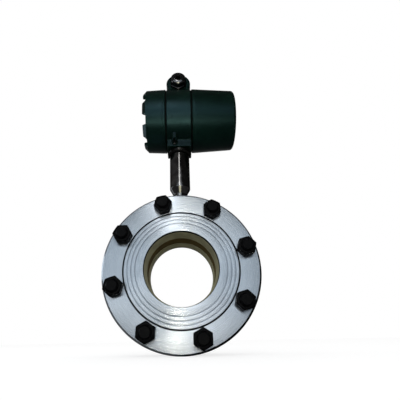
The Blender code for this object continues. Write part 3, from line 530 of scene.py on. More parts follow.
def turned_steel(name, colour, roughness, anisotropy, mark_pitch, mark_height, metal=1.0, side=""):
    """Turned metal: rings of tool marks about the local axis, and a sheen that runs across them.

    Metal under 1 is duller and scatters light. A flange's side is front or rear, and gives it painted shade
    in its step and mouth; the front one is bright metal on its face alone, with painted shade along its
    edge.
    """
    n = material_nodes(name)
    radius, height = n.radius_and_height()
    along = n.math("ADD", radius, height)
    marks = n.line_noise(along, 1 / mark_pitch, 3.0)
    bands = n.line_noise(along, 0.12 / mark_pitch, 2.0)
    clouds = n.noise(28.0, 3.0)
    darker = scaled(colour, 0.86)
    tint = n.mix(n.ramp(clouds, 0.35, 0.65), darker, scaled(colour, 1.07))
    tint = n.mix(n.ramp(bands, 0.3, 0.7, 0.0, 0.35), tint, darker)
    if side:
        land_edge = LAND_GROOVE_RADIUS + LAND_GROOVE_WIDTH / 2
        tint = n.mix(n.ramp(radius, land_edge - 0.2 * MM, land_edge + 0.2 * MM, 0.0, 0.5), tint, darker)
        # Painted shade: darker in the step round the land and on the mouth's wall
        painted_shade = flange_painted_shade(n, radius)
        if side == "front":
            low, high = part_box("front_flange")
            face = high.y - low.y - BRIGHT_FACE_DEPTH
            front = n.ramp(height, face - 0.3 * MM, face + 0.3 * MM)
            metal = n.math("ADD", n.math("MULTIPLY", front, 1.0 - metal), metal)
            # Painted shade: a dark crescent on the front flange's edge, widest toward the lower right
            painted_shade = n.math("MAXIMUM", painted_shade, n.math("MULTIPLY", rim_painted_shade(n, radius), front))
        # The painted shade darkens the tint
        tint = n.mix(n.math("MULTIPLY", painted_shade, 0.97), tint, PAINTED_SHADE_COLOUR)
    rough = n.ramp(marks, 0.2, 0.8, roughness - 0.05, roughness + 0.05)
    return n.finish(
        Base_Color=tint,
        Metallic=metal,
        Roughness=n.math("ADD", rough, n.ramp(clouds, 0.3, 0.7, -0.015, 0.015)),
        Anisotropic=anisotropy,
        Anisotropic_Rotation=0.25,
        Tangent=n.add("ShaderNodeTangent", direction_type="RADIAL", axis="Z").outputs[0],
        Normal=n.bump(marks, 0.35, mark_height),
    )


def lining(name, colour, roughness, ring_pitch, end=None):
    """Matt wear lining, with the faint rings that its boring left, and painted shade in the joint at its
    end.
    """
    n = material_nodes(name)
    _, height = n.radius_and_height()
    rings = n.line_noise(height, 1 / ring_pitch, 3.0)
    clouds = n.noise(60.0, 4.0)
    tint = n.mix(n.ramp(rings, 0.3, 0.7), scaled(colour, 0.75), colour)
    tint = n.mix(n.ramp(clouds, 0.4, 0.7, 0.0, 0.6), tint, scaled(colour, 1.3))
    if end:
        # Painted shade: darker just behind the liner's front end, where the lip shades it
        painted_shade = n.ramp(height, end - JOINT_SHADE_DEPTH, end - 0.8 * JOINT_SHADE_DEPTH)
        tint = n.mix(painted_shade, tint, JOINT_SHADE_COLOUR)
    return n.finish(
        Base_Color=tint,
        Roughness=n.ramp(clouds, 0.3, 0.7, roughness - 0.06, roughness + 0.08),
        Specular_IOR_Level=0.06,
        Normal=n.bump(n.noise(900.0), 0.25, 0.00004, n.bump(rings, 0.5, 0.00010)),
    )


def black_oxide(name, roughness):
    """Blackened steel: nearly black, a little greyer where it has rubbed on the edges."""
    n = material_nodes(name)
    clouds = n.noise(160.0, 4.0)
    tint = n.mix(n.ramp(clouds, 0.35, 0.7), (0.0012, 0.0012, 0.0015), (0.003, 0.003, 0.0035))
    worn = n.math("MULTIPLY", n.edge_wear(0.5 * MM), n.ramp(clouds, 0.3, 0.6, 0.2, 0.8))
    return n.finish(
        Base_Color=n.mix(worn, tint, (0.018, 0.018, 0.020)),
        Roughness=n.ramp(clouds, 0.3, 0.7, roughness - 0.06, roughness + 0.08),
        Specular_IOR_Level=0.07,
        Normal=n.bump(n.noise(1400.0), 0.3, 0.00005),
    )


def dark_polish(name, colour, roughness, mark_pitch):
    """Dark polished metal, with fine turning marks round it."""
    n = material_nodes(name)
    marks = n.line_noise(n.math("ADD", *n.radius_and_height()), 1 / mark_pitch, 3.0)
    clouds = n.noise(90.0, 4.0)
    return n.finish(
        Base_Color=n.mix(n.ramp(clouds, 0.35, 0.7), scaled(colour, 0.7), scaled(colour, 1.3)),
        Metallic=1.0,
        Roughness=n.ramp(clouds, 0.35, 0.7, roughness * 0.8, roughness * 1.25),
        Specular_Tint=(0.25, 0.25, 0.25),
        Normal=n.bump(marks, 0.35, 0.00002),
    )


def cast_paint(name, colour, roughness, gloss, foot=False):
    """Satin paint: soft waves, a fine orange peel, thin wear on the edges, and painted shade on the foot."""
    n = material_nodes(name)
    peel = n.noise(520.0, 3.0)
    dust = n.noise(18.0, 5.0)
    _, height = n.radius_and_height()
    rings = n.line_noise(height, 420.0)
    tint = n.mix(n.ramp(dust, 0.35, 0.65), scaled(colour, 0.75), scaled(colour, 1.25))
    worn = n.math("MULTIPLY", n.edge_wear(0.6 * MM), n.ramp(dust, 0.4, 0.7, 0.05, 0.5))
    rough = n.ramp(dust, 0.3, 0.7, roughness - 0.04, roughness + 0.05)
    peeled = n.bump(peel, 0.3, 0.00008, n.bump(n.noise(45.0), 0.25, 0.0004))
    shine = (0.40, 0.82, 1.0)
    # Painted shade: below the top of the foot the reflections are tinted darker
    if foot:
        foot_top = FOOT_TOP - HOUSING_HEIGHT
        shine = n.mix(n.ramp(height, foot_top - 2 * MM, foot_top + 8 * MM), (0.26, 0.42, 0.56), shine)
    return n.finish(
        Base_Color=n.mix(worn, tint, tuple(c * 2.2 + 0.004 for c in colour)),
        Roughness=n.math("ADD", rough, n.ramp(peel, 0.3, 0.7, -0.03, 0.04)),
        Specular_IOR_Level=gloss,
        Specular_Tint=shine,
        Normal=n.bump(rings, 0.12, 0.00006, peeled),
    )


def dark_nickel(name, brightness):
    """Dark plated brass, bright where a lamp meets it."""
    n = material_nodes(name)
    clouds = n.noise(240.0, 3.0)
    tint = n.mix(n.ramp(clouds, 0.3, 0.7), (brightness * 0.8,) * 3, (brightness * 1.2,) * 3)
    return n.finish(
        Base_Color=n.mix(n.math("MULTIPLY", n.edge_wear(0.4 * MM), 0.2), tint, (0.30, 0.30, 0.31)),
        Metallic=1.0,
        Roughness=n.ramp(clouds, 0.3, 0.7, 0.10, 0.18),
        Specular_Tint=(0.3, 0.3, 0.3),
        Normal=n.bump(clouds, 0.1, 0.00003),
    )


def rubber(name):
    n = material_nodes(name)
    grains = n.noise(1100.0, 3.0)
    return n.finish(
        Base_Color=n.mix(n.ramp(n.noise(120.0), 0.3, 0.7), (0.0015,) * 3, (0.004,) * 3),
        Roughness=n.ramp(grains, 0.3, 0.7, 0.62, 0.80),
        Specular_IOR_Level=0.12,
        Normal=n.bump(grains, 0.3, 0.00006),
    )


def circuit_board(name):
    """Solder mask over copper tracks, with a tinned pad here and there."""
    n = material_nodes(name)
    cells = n.add("ShaderNodeTexVoronoi", {"Vector": n.place(), "Scale": 260.0}, feature="DISTANCE_TO_EDGE")
    spots = n.add("ShaderNodeTexVoronoi", {"Vector": n.place(), "Scale": 190.0}, feature="F1")
    tracks = n.ramp(cells.outputs["Distance"], 0.10, 0.14)
    pads = n.ramp(spots.outputs["Distance"], 0.17, 0.13)
    tint = n.mix(tracks, (0.035, 0.19, 0.075), (0.012, 0.10, 0.035))
    return n.finish(
        Base_Color=n.mix(pads, tint, (0.55, 0.55, 0.52)),
        Roughness=n.ramp(pads, 0.0, 1.0, 0.42, 0.28),
        Normal=n.bump(tracks, 0.3, 0.00005),
    )


def plain_plastic(name, colour):
    n = material_nodes(name)
    grains = n.noise(900.0, 3.0)
    return n.finish(
        Base_Color=n.mix(n.ramp(n.noise(70.0), 0.3, 0.7), scaled(colour, 0.88), colour),
        Roughness=n.ramp(grains, 0.3, 0.7, 0.45, 0.6),
        Normal=n.bump(grains, 0.25, 0.00005),
    )


def make_finishes():
    low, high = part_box("front_liner")
    coarse, fine = (0.5 * MM, 0.00001), (0.3 * MM, 0.00002)
    green = (0.0014, 0.0080, 0.0046)
    rows = (
        (turned_steel, "flange_steel", (0.56, 0.605, 0.66), 0.29, 0.975, *coarse, 0.5, "front"),
        (turned_steel, "rear_steel", (0.60, 0.64, 0.69), 0.34, 0.9, *coarse, 0.5, "rear"),
        (turned_steel, "wafer_steel", (0.52, 0.56, 0.60), 0.34, 0.9, *coarse, 0.5),
        (turned_steel, "screw_steel", (0.06, 0.06, 0.063), 0.34, 0.4, *fine),
        (turned_steel, "spacer_brass", (0.62, 0.48, 0.22), 0.28, 0.5, *fine),
        (lining, "liner", (0.36, 0.345, 0.22), 0.80, 1.4 * MM, high.y - low.y),
        (lining, "sensing_ring", (0.12, 0.085, 0.022), 0.75, 1.0 * MM),
        (black_oxide, "bolting", 0.42),
        (dark_polish, "stem_steel", (0.20, 0.195, 0.19), 0.13, 0.4 * MM),
        (dark_polish, "collar_steel", (0.045, 0.044, 0.043), 0.22, 0.4 * MM),
        (cast_paint, "housing_paint", green, 0.34, 0.33, True),
        (cast_paint, "cover_paint", green, 0.36, 0.24),
        (dark_nickel, "gland_chrome", 0.16),
        (dark_nickel, "dull_chrome", 0.04),
        (rubber, "gasket"),
        (rubber, "seal_rubber"),
        (rubber, "lead_sheath"),
        (circuit_board, "board"),
        (plain_plastic, "terminal_plastic", (0.16, 0.165, 0.17)),
    )
    return {name: make(name, *values) for make, name, *values in rows}


def flange_outline(inner, outer, thickness):
    """One flange, its inner face at height 0, with the lip in front of the liner."""
    lip = thickness - FLANGE_LIP
    points = [(inner, lip), (MOUTH_RADIUS, lip), (MOUTH_RADIUS, thickness)]
    grooves = [(radius, GROOVE_WIDTH, GROOVE_DEPTH) for radius in GROOVE_RADII]
    grooves.append((LAND_GROOVE_RADIUS, LAND_GROOVE_WIDTH, LAND_GROOVE_DEPTH))
    for radius, width, depth in grooves:
        floor = width * 0.18
        points += [
            (radius - width / 2, thickness),
            (radius - floor, thickness - depth),
            (radius + floor, thickness - depth),
            (radius + width / 2, thickness),
        ]
    points += [
        (outer - FLANGE_CHAMFER, thickness),
        (outer, thickness - FLANGE_CHAMFER),
        (outer, FLANGE_CHAMFER),
        (outer - FLANGE_CHAMFER, 0),
        (inner, 0),
    ]
    return rounded(points, 0.25 * MM)


def hole_cutter(depth):
    """A bolt hole's cutter, with a small chamfer at both mouths."""
    radius = BOLT_HOLE_DIAMETER / 2
    wide = radius + HOLE_CHAMFER + MM
    top = depth + MM
    outline = [
        (0, top),
        (wide, top),
        (radius, depth - HOLE_CHAMFER),
        (radius, HOLE_CHAMFER),
        (wide, -MM),
        (0, -MM),
    ]
    return lathe_mesh("hole_cutter", outline, SMALL_SEGMENTS)


def bolt_places():
    """The centre of each bolt in the row frame, from its CAD node."""
    for i in range(BOLT_COUNT):
        low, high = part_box(f"bolt_{i + 1}")
        yield i + 1, (low.x + high.x) / 2, (low.z + high.z) / 2


def sleeve_hole():
    """Radius of the hole that each flange, gasket and the sensor body has for the sleeves."""
    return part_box("front_liner")[1].x + CLEARANCE


def make_flanges():
    for name, node, axis, side, finish in (
        ("turned_front_flange", "front_flange", "-Y", -1, "flange_steel"),
        ("turned_rear_flange", "rear_flange", "+Y", 1, "rear_steel"),
    ):
        low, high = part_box(node)
        thickness = high.y - low.y
        base = lathe_mesh(name, flange_outline(sleeve_hole(), high.x, thickness), WIDE_SEGMENTS)
        origin = (0, side * min(abs(low.y), abs(high.y)), 0)
        to_local = (Matrix.Translation(origin) @ axis_turn(axis)).inverted()
        cutter = hole_cutter(thickness)
        cutters = []
        for _, x, z in bolt_places():
            place = to_local @ Vector((x, origin[1], z))
            cutters.append((cutter, Matrix.Translation(place)))
        new_piece(name, boolean_mesh(name, base, cutters), finish, "meter", node, axis, origin)


def make_sensor_body():
    low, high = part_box("sensor_body")
    half, outer = high.y, high.x
    inner = sleeve_hole()
    band = WAFER_BAND_HALF_WIDTH
    floor = outer - WAFER_BAND_DEPTH
    outline = [
        (inner, half),
        (outer - WAFER_CHAMFER, half),
        (outer, half - WAFER_CHAMFER),
        (outer, band + WAFER_BAND_DEPTH),
        (floor, band),
        (floor, -band),
        (outer, -band - WAFER_BAND_DEPTH),
        (outer, WAFER_CHAMFER - half),
        (outer - WAFER_CHAMFER, -half),
        (inner, -half),
    ]
    base = lathe_mesh("wafer", rounded(outline, 0.3 * MM), WIDE_SEGMENTS)
    top = DRILL_TOP
    cutters = []
    for radius, bottom in (
        (WELL_RADIUS, outer - WELL_DEPTH),
        (SOCKET_RADIUS, outer - SOCKET_DEPTH),
        (LEAD_DRILL_RADIUS, 0),
    ):
        drill = lathe_mesh("drill", [(0, top), (radius, top), (radius, bottom), (0, bottom)], SMALL_SEGMENTS)
        cutters.append((drill, axis_turn("+Y").inverted()))
    mesh = boolean_mesh("wafer", base, cutters)
    new_piece("wafer_body", mesh, "wafer_steel", "meter", "sensor_body", "+Y")


def make_sleeves():
    """The liners, with a faint ridge near their inner ends, and the sensing ring."""
    for name, node, axis, side, mouth in (
        ("bored_front_liner", "front_liner", "-Y", -1, MOUTH_RADIUS),
        ("bored_rear_liner", "rear_liner", "+Y", 1, BORE_RADIUS),
    ):
        low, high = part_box(node)
        length = high.y - low.y
        outer = high.x
        slope = (mouth - BORE_RADIUS) / (length - LINER_EDGE)
        outline = [
            (mouth + LINER_EDGE, length),
            (outer, length),
            (outer, 0),
            (BORE_RADIUS, 0),
            *[(BORE_RADIUS + slope * at + rise, at) for at, rise in LINER_RIDGE],
            (mouth, length - LINER_EDGE),
        ]
        origin = (0, side * min(abs(low.y), abs(high.y)), 0)
        turned_piece(name, outline, 0.12 * MM, "liner", "meter", node, axis, origin)
    low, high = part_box("sensing_ring")
    half, outer = high.y, high.x
    inner = BORE_RADIUS + RING_RECESS
    outline = [(inner, half), (outer, half), (outer, -half), (inner, -half)]
    turned_piece("bored_sensing_ring", outline, 0.3 * MM, "sensing_ring", "meter", "sensing_ring", "+Y")


def make_gaskets():
    for name, node, axis in (
        ("sealed_front_gasket", "front_gasket", "-Y"),
        ("sealed_rear_gasket", "rear_gasket", "+Y"),
    ):
        low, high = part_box(node)
        bottom, top = sorted((abs(low.y), abs(high.y)))
        inner = sleeve_hole()
        outline = [(inner, top), (high.x, top), (high.x, bottom), (inner, bottom)]
        turned_piece(name, outline, 0.4 * MM, "gasket", "meter", node, axis)


def hex_angles(steps=7):
    """Angles round a hexagon, close together at its corners."""
    angles = []
    for sector in range(6):
        for k in range(-steps, steps):
            share = k / steps
            spread = math.copysign(1 - (1 - abs(share)) ** 1.8, share)
            angles.append(math.radians(60 * sector + 30 * spread))
    return angles


def hex_radius(angle, across_flats, corner_round=HEX_CORNER_ROUND):
    """Distance to a hexagon's side at an angle, with its corners rounded."""
    flat = across_flats / 2
    off_flat = (math.degrees(angle) + 30) % 60 - 30
    side = flat / math.cos(math.radians(off_flat))
    to_corner = math.radians(30 - abs(off_flat))
    centre = (flat - corner_round) / math.cos(math.radians(30))
    across = centre * math.sin(to_corner)
    if across >= corner_round:
        return side
    return min(side, centre * math.cos(to_corner) + math.sqrt(corner_round**2 - across**2))


def hex_top(side, face, height):
    """(radius, height) points over a hexagon's chamfered end, from its face to its side."""
    drop = max(0.0, side - face) * HEX_CHAMFER_SLOPE
    near_side = side - min(0.15 * MM, (side - face) * 0.3)
    return [(face, height), (near_side, height - drop * 0.97), (side, height - drop - 0.1 * MM)]


def thread_radius(height, angle, radius, pitch, depth):
    """Radius of a right-handed thread's surface: a trapezium wave that climbs one pitch a turn."""
    phase = (height / pitch - angle / (2 * math.pi)) % 1.0
    wave = min(1.0, max(0.0, abs(phase - 0.5) * 4 - 0.5))
    return radius - depth * wave


def nut_outline(angle, height):
    side = hex_radius(angle, HEX_ACROSS_FLATS)
    face = HEX_ACROSS_FLATS / 2 * HEX_FACE_SHARE
    bore = BOLT_RADIUS + NUT_BORE_GAP
    top = hex_top(side, face, height)
    bottom = [(r, height - h) for r, h in reversed(top)]
    sink = NUT_COUNTERSINK
    inside = [(bore + sink, 0), (bore, sink), (bore, height - sink), (bore + sink, height)]
    return top + bottom + inside


def make_nuts():
    low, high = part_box("nut_1")
    mesh = polar_mesh("hex_nut", lambda angle: nut_outline(angle, high.y - low.y), hex_angles())
    for i, x, z in bolt_places():
        turn = NUT_TURNS[i - 1] + FLAT_TO_CORNER
        new_piece(f"hex_nut_{i}", mesh, "bolting", "meter", f"nut_{i}", "-Y", (x, high.y, z), turn)


def bolt_shank_outline(angle, length):
    """The shank below the head's seat: plain, then threaded to its chamfered end."""
    plain = length - THREAD_LENGTH
    wall = BOLT_RADIUS - 0.05 * MM
    points = [(0, BOLT_HEAD_HEIGHT / 2), (wall, BOLT_HEAD_HEIGHT / 2)]
    points += [(wall, 0), (wall, -plain / 2), (wall, -plain)]
    rows = int(THREAD_LENGTH / THREAD_PITCH * THREAD_ROWS_PER_TURN)
    for k in range(1, rows + 1):
        down = THREAD_LENGTH * k / rows
        run_in = min(1.0, down / THREAD_PITCH)
        radius = thread_radius(down, angle, BOLT_RADIUS, THREAD_PITCH, THREAD_DEPTH * run_in)
        to_end = THREAD_LENGTH - down
        points.append((min(radius, BOLT_RADIUS - 1.5 * MM + to_end), -plain - down))
    return points + [(BOLT_RADIUS - 2.6 * MM, -length), (0, -length)]


def bolt_head_outline(angle):
    side = hex_radius(angle, HEX_ACROSS_FLATS)
    face = HEX_ACROSS_FLATS / 2 * HEX_FACE_SHARE
    seat = HEX_ACROSS_FLATS / 2 * 0.97
    top = [(0, BOLT_HEAD_HEIGHT), *hex_top(side, face, BOLT_HEAD_HEIGHT)]
    return top + [(side, WASHER_FACE_HEIGHT), (seat, WASHER_FACE_HEIGHT * 0.9), (seat, 0), (0, 0)]


def make_bolts():
    low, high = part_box("bolt_1")
    seat = high.y - BOLT_HEAD_HEIGHT
    head = polar_mesh("bolt_head", bolt_head_outline, hex_angles())
    shank = polar_mesh("bolt_shank", lambda angle: bolt_shank_outline(angle, seat - low.y), full_circle(48))
    for mesh in (head, shank):
        shade(mesh)
    mesh = boolean_mesh("hex_bolt", head, [(shank, Matrix.Identity(4))], "UNION")
    for i, x, z in bolt_places():
        turn = math.degrees(math.atan2(z, x)) + FLAT_TO_CORNER
        new_piece(f"hex_bolt_{i}", mesh, "bolting", "meter", f"bolt_{i}", "+Y", (x, seat, z), turn)


def make_stem():
    low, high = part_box("stem")
    outline = [
        (STEM_BORE_RADIUS, high.z),
        (STEM_SPIGOT_RADIUS, high.z),
        (STEM_SPIGOT_RADIUS, STEM_SHOULDER),
        (STEM_UPPER_RADIUS - STEM_CHAMFER, STEM_SHOULDER),
        (STEM_UPPER_RADIUS, STEM_SHOULDER - STEM_CHAMFER),
        (STEM_UPPER_RADIUS, STEM_CONE_TOP),
        (STEM_LOWER_RADIUS, STEM_CONE_BOTTOM),
        (STEM_LOWER_RADIUS, low.z),
        (STEM_BORE_RADIUS, low.z),
    ]
    turned_piece("polished_stem", outline, 0.6 * MM, "stem_steel", "meter", "stem", segments=ROUND_SEGMENTS)


def make_lock_collar():
    """The collar under the housing's foot, and the seal between them."""
    low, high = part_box("lock_collar")
    hole = STEM_SPIGOT_RADIUS + CLEARANCE
    outer = high.x
    middle = (low.z + COLLAR_CHAMFER + high.z) / 2
    outline = [
        (hole, high.z),
        (outer, high.z),
        (outer, middle + COLLAR_GROOVE_HALF_WIDTH),
        (outer - COLLAR_GROOVE_DEPTH, middle),
        (outer, middle - COLLAR_GROOVE_HALF_WIDTH),
        (outer, low.z + COLLAR_CHAMFER),
        (outer - COLLAR_CHAMFER, low.z),
        (hole, low.z),
    ]
    dress = ("collar_steel", "meter", "lock_collar")
    turned_piece("polished_collar", outline, 0.3 * MM, *dress, segments=ROUND_SEGMENTS)
    low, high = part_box("stem_seal")
    outline = [(hole, high.z), (high.x, high.z), (high.x, low.z), (hole, low.z)]
    dress = ("seal_rubber", "meter", "stem_seal")
    turned_piece("soft_stem_seal", outline, 0.4 * MM, *dress, segments=ROUND_SEGMENTS)


def blend_min(a, b, width):
    """The smaller of two distances, joined by a fillet of about this width."""
    share = np.clip(0.5 + 0.5 * (b - a) / width, 0, 1)
    return b + (a - b) * share - width * share * (1 - share)


def blend_max(a, b, width):
    return -blend_min(-a, -b, width)


def box_distance(offsets, halves, edge):
    """Distance to a box with rounded edges, from offsets along its own axes."""
    reach = [np.abs(o) - h + edge for o, h in zip(offsets, halves)]
    outside = np.sqrt(sum(np.maximum(r, 0) ** 2 for r in reach))
    inside = np.minimum(np.maximum.reduce(reach), 0)
    return outside + inside - edge


def rod_distance(across, along, radius, low, high, edge=0.0):
    """Distance to a rod of this radius, between two places along its axis."""
    middle, half = (low + high) / 2, (high - low) / 2
    return box_distance((across, along - middle), (radius, half), edge)


def housing_distance(x, y, z):
    """Signed distance to the casting, about its own axis, in metres."""
    round_x = np.sqrt(y**2 + z**2)
    up = HOUSING_HEIGHT
    ring = rod_distance(round_x, x, RING_RADIUS, -RING_HALF_WIDTH * CUT_BACK, RING_HALF_WIDTH * CUT_BACK)
    foot_middle = (FOOT_BOTTOM + FOOT_TOP) / 2 - up
    foot_halves = (FOOT_HALF_WIDTH * CUT_BACK, FOOT_HALF_DEPTH, (FOOT_TOP - FOOT_BOTTOM) / 2)
    foot = box_distance((x, y, z - foot_middle), foot_halves, FOOT_EDGE)
    round_y = np.sqrt(x**2 + (z - BOSS_HEIGHT + up) ** 2)
    boss = rod_distance(round_y, -y, BOSS_RADIUS, -BOSS_BACK, BOSS_FRONT, BOSS_EDGE)
    pad_bottom = FOOT_BOTTOM + PAD_ABOVE_FOOT
    pad_offsets = (x - PAD_CENTRE_X, y + PAD_FRONT - PAD_HALF_DEPTH, z - (PAD_TOP + pad_bottom) / 2 + up)
    pad = box_distance(pad_offsets, (PAD_HALF_WIDTH, PAD_HALF_DEPTH, (PAD_TOP - pad_bottom) / 2), PAD_EDGE)
    outside = blend_min(ring, foot, FOOT_FILLET)
    outside = blend_min(outside, pad, PAD_FILLET)
    outside = blend_min(outside, boss, BOSS_FILLET)
    outside = blend_max(outside, np.abs(x) - RING_HALF_WIDTH, CASTING_EDGE)
    outside = np.minimum(outside, boss)
    spigots = rod_distance(round_x, x, SPIGOT_RADIUS, -SPIGOT_HALF_WIDTH, SPIGOT_HALF_WIDTH, SPIGOT_EDGE)
    solid = np.minimum(outside, spigots)
    far = SPIGOT_HALF_WIDTH * 2
    round_z = np.sqrt(x**2 + y**2)
    screw = np.sqrt((x - PAD_CENTRE_X) ** 2 + (z - SCREW_HEIGHT + up) ** 2)
    lead = np.sqrt(y**2 + (z - LEAD_HEIGHT + up) ** 2)
    for hollow in (
        rod_distance(round_x, x, CHAMBER_RADIUS, -far, PARTITION[0]),
        rod_distance(round_x, x, CHAMBER_RADIUS, PARTITION[1], far),
        rod_distance(round_y, -y, GLAND_HOLE_RADIUS, GLAND_THREAD_END, far),
        rod_distance(round_y, -y, CONDUIT_RADIUS, -CONDUIT_RADIUS, GLAND_THREAD_END + MM),
        rod_distance(round_z, z, CONDUIT_DROP_RADIUS, CHAMBER_RADIUS - 2 * MM, BOSS_HEIGHT - up),
        rod_distance(round_z, z, STEM_HOLE_RADIUS, -far * 2, STEM_HOLE_TOP - up),
        rod_distance(round_z, z, STEM_BORE_RADIUS, -far * 2, 2 * MM - CHAMBER_RADIUS),
        rod_distance(screw, -y, SCREW_HOLE_RADIUS, FOOT_HALF_DEPTH - SCREW_DEPTH - CLEARANCE, far),
        rod_distance(lead, x, LEAD_HOLE_RADIUS, 0, far / 2),
    ):
        solid = np.maximum(solid, -hollow)
    return solid


def edge_crossings(field, axis):
    """Grid edges along an axis whose ends lie on either side of zero, with their sign and share."""
    ahead = np.roll(field, -1, axis)
    crosses = (field < 0) != (ahead < 0)
    trim = [slice(None)] * 3
    trim[axis] = slice(-1, None)
    crosses[tuple(trim)] = False
    places = np.argwhere(crosses)
    a = field[crosses]
    b = ahead[crosses]
    return places, a < 0, a / (a - b)


def net_mesh(name, distance, low, high, step):
    """A closed mesh where distance(x, y, z) is zero, with one vertex in each grid cell it crosses."""
    lines = [np.arange(a - 2 * step, b + 3 * step, step) for a, b in zip(low, high)]
    field = distance(*np.meshgrid(*lines, indexing="ij"))
    total = np.zeros(field.shape + (3,))
    count = np.zeros(field.shape, int)
    crossings = []
    for axis in range(3):
        places, starts_inside, share = edge_crossings(field, axis)
        points = places.astype(float)
        points[:, axis] += share
        others = [k for k in range(3) if k != axis]
        cells = []
        for da, db in ((0, 0), (-1, 0), (-1, -1), (0, -1)):
            cell = places.copy()
            cell[:, others[0]] += da
            cell[:, others[1]] += db
            cells.append(cell)
            np.add.at(total, tuple(cell.T), points)
            np.add.at(count, tuple(cell.T), 1)
        crossings.append((axis, starts_inside, cells))
    used = count > 0
    index = np.full(field.shape, -1)
    index[used] = np.arange(used.sum())
    origin = np.array([line[0] for line in lines])
    vertices = origin + step * total[used] / count[used][:, None]
    vertices = onto_surface(vertices, distance, step)
    faces = []
    for axis, starts_inside, cells in crossings:
        quads = np.stack([index[tuple(cell.T)] for cell in cells], axis=1)
        turned_over = starts_inside if axis == 1 else ~starts_inside
        quads[turned_over] = quads[turned_over][:, ::-1]
        faces.append(quads)
    mesh = bpy.data.meshes.new(name)
    mesh.from_pydata(vertices.tolist(), [], np.concatenate(faces).tolist())
    mesh.validate()
    return mesh


def onto_surface(points, distance, step, rounds=3):
    """Points moved down the distance's slope until they lie on its zero, at most half a step away."""
    start = points.copy()
    probe = step * 0.05
    for _ in range(rounds):
        here = distance(*points.T)
        slope = np.empty_like(points)
        for k in range(3):
            moved = points.copy()
            moved[:, k] += probe
            slope[:, k] = (distance(*moved.T) - here) / probe
        steepness = np.maximum((slope**2).sum(axis=1), 0.25)
        points = points - slope * (here / steepness)[:, None]
        points = np.clip(points, start - step / 2, start + step / 2)
    return points


def make_housing():
    low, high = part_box("housing")
    centre = Vector(HOUSING_POINT)
    mesh = net_mesh("cast_housing", housing_distance, low - centre, high - centre, CASTING_STEP)
    new_piece("cast_housing", mesh, "housing_paint", "head", "housing", origin=centre)


def notch_depth_share(radius, angle):
    """1 on the floor of a notch between two lugs, 0 on a lug, with soft walls between."""
    pitch = 2 * math.pi / LUG_COUNT
    off = (angle - FIRST_NOTCH_ANGLE + pitch / 2) % pitch - pitch / 2
    beyond = abs(radius * math.sin(off)) - NOTCH_HALF_WIDTH
    share = min(1.0, max(0.0, 0.5 - beyond / NOTCH_SOFTNESS))
    return share * share * (3 - 2 * share)


def cover_mouth():
    """A cover's outer edge at its mouth, and its thread, as (radius, height) points from outside in."""
    return [
        (RING_RADIUS, COVER_MOUTH + COVER_MOUTH_EDGE),
        (RING_RADIUS - 0.25 * MM, COVER_MOUTH + 0.25 * MM),
        (RING_RADIUS - COVER_MOUTH_EDGE, COVER_MOUTH),
        (COVER_THREAD_RADIUS, COVER_MOUTH),
        (COVER_THREAD_RADIUS, COVER_THREAD_END),
    ]


def left_cover_radius(height):
    """The short cover's outer radius, which narrows towards the lugs."""
    start = COVER_MOUTH + COVER_MOUTH_EDGE
    share = (height - start) / (LEFT_COVER_END - LUG_CHAMFER - start)
    return RING_RADIUS + (LEFT_COVER_END_RADIUS - RING_RADIUS) * share


def lug_outline(angle):
    """The short cover's outline at an angle round its axis, lugs and notches included."""
    plate = LUG_BASE - 1.0 * MM
    inner = LUG_RING_INNER_RADIUS
    crest_edge = LEFT_COVER_END_RADIUS - LUG_CHAMFER
    top = [(0, plate), (inner - 8 * MM, plate), (inner - 0.6 * MM, plate)]
    radii = [inner + d * MM for d in (0.05, 0.25, 0.55, 0.85, 1.2, 1.5, 2.2)]
    radii += [crest_edge + d * MM for d in (-3.0, -0.8, 0.0, 0.8, 2.4, 4.0, 5.4, 5.9, 6.0)]
    for radius in radii:
        notch = notch_depth_share(radius, angle)
        rise = min(1.0, max(0.0, (radius - inner) / LUG_DRAFT))
        crest = LEFT_COVER_END - max(0.0, radius - crest_edge)
        lug = plate + (crest - plate) * rise
        floor = min(lug, LUG_BASE)
        top.append((radius, lug + (floor - lug) * notch))
    groove = COVER_MOUTH + COVER_GROOVE_FROM_MOUTH
    at_groove = left_cover_radius(groove)
    side = [
        (left_cover_radius(LUG_BASE - 1.5 * MM), LUG_BASE - 1.5 * MM),
        (at_groove, groove + COVER_GROOVE_WIDTH / 2),
        (at_groove - COVER_GROOVE_DEPTH, groove + COVER_GROOVE_WIDTH / 5),
        (at_groove - COVER_GROOVE_DEPTH, groove - COVER_GROOVE_WIDTH / 5),
        (at_groove, groove - COVER_GROOVE_WIDTH / 2),
        *cover_mouth(),
        (crest_edge - COVER_WALL, plate - COVER_WALL),
        (0, plate - COVER_WALL),
    ]
    return top + side


def make_left_cover():
    """The short cover. Local angles run from -Y, so they match the notches as the CAD has them."""
    mesh = polar_mesh("lugged_cover", lambda angle: lug_outline(angle + math.pi / 2), full_circle(720))
    new_piece("lugged_cover", mesh, "housing_paint", "left_cover", "left_cover", "-X", HOUSING_POINT)


def make_right_cover():
    inner_end = RIGHT_COVER_END - COVER_WALL
    corner = RIGHT_COVER_CORNER
    corner_radius = RIGHT_COVER_END_RADIUS - corner
    points = [(0, RIGHT_COVER_END), (corner_radius * 0.5, RIGHT_COVER_END)]
    for k in range(13):
        angle = math.radians(90 - 90 * k / 12)
        height = RIGHT_COVER_END - corner + corner * math.sin(angle)
        points.append((corner_radius + corner * math.cos(angle), height))
    points += [
        (RING_RADIUS - 0.2 * MM, COVER_MOUTH + 6 * MM),
        *cover_mouth(),
        (RIGHT_COVER_END_RADIUS - COVER_WALL, inner_end),
        (0, inner_end),
    ]
    mesh = lathe_mesh("long_cover", points, WIDE_SEGMENTS)
    new_piece("long_cover", mesh, "cover_paint", "right_cover", "right_cover", "+X", HOUSING_POINT)


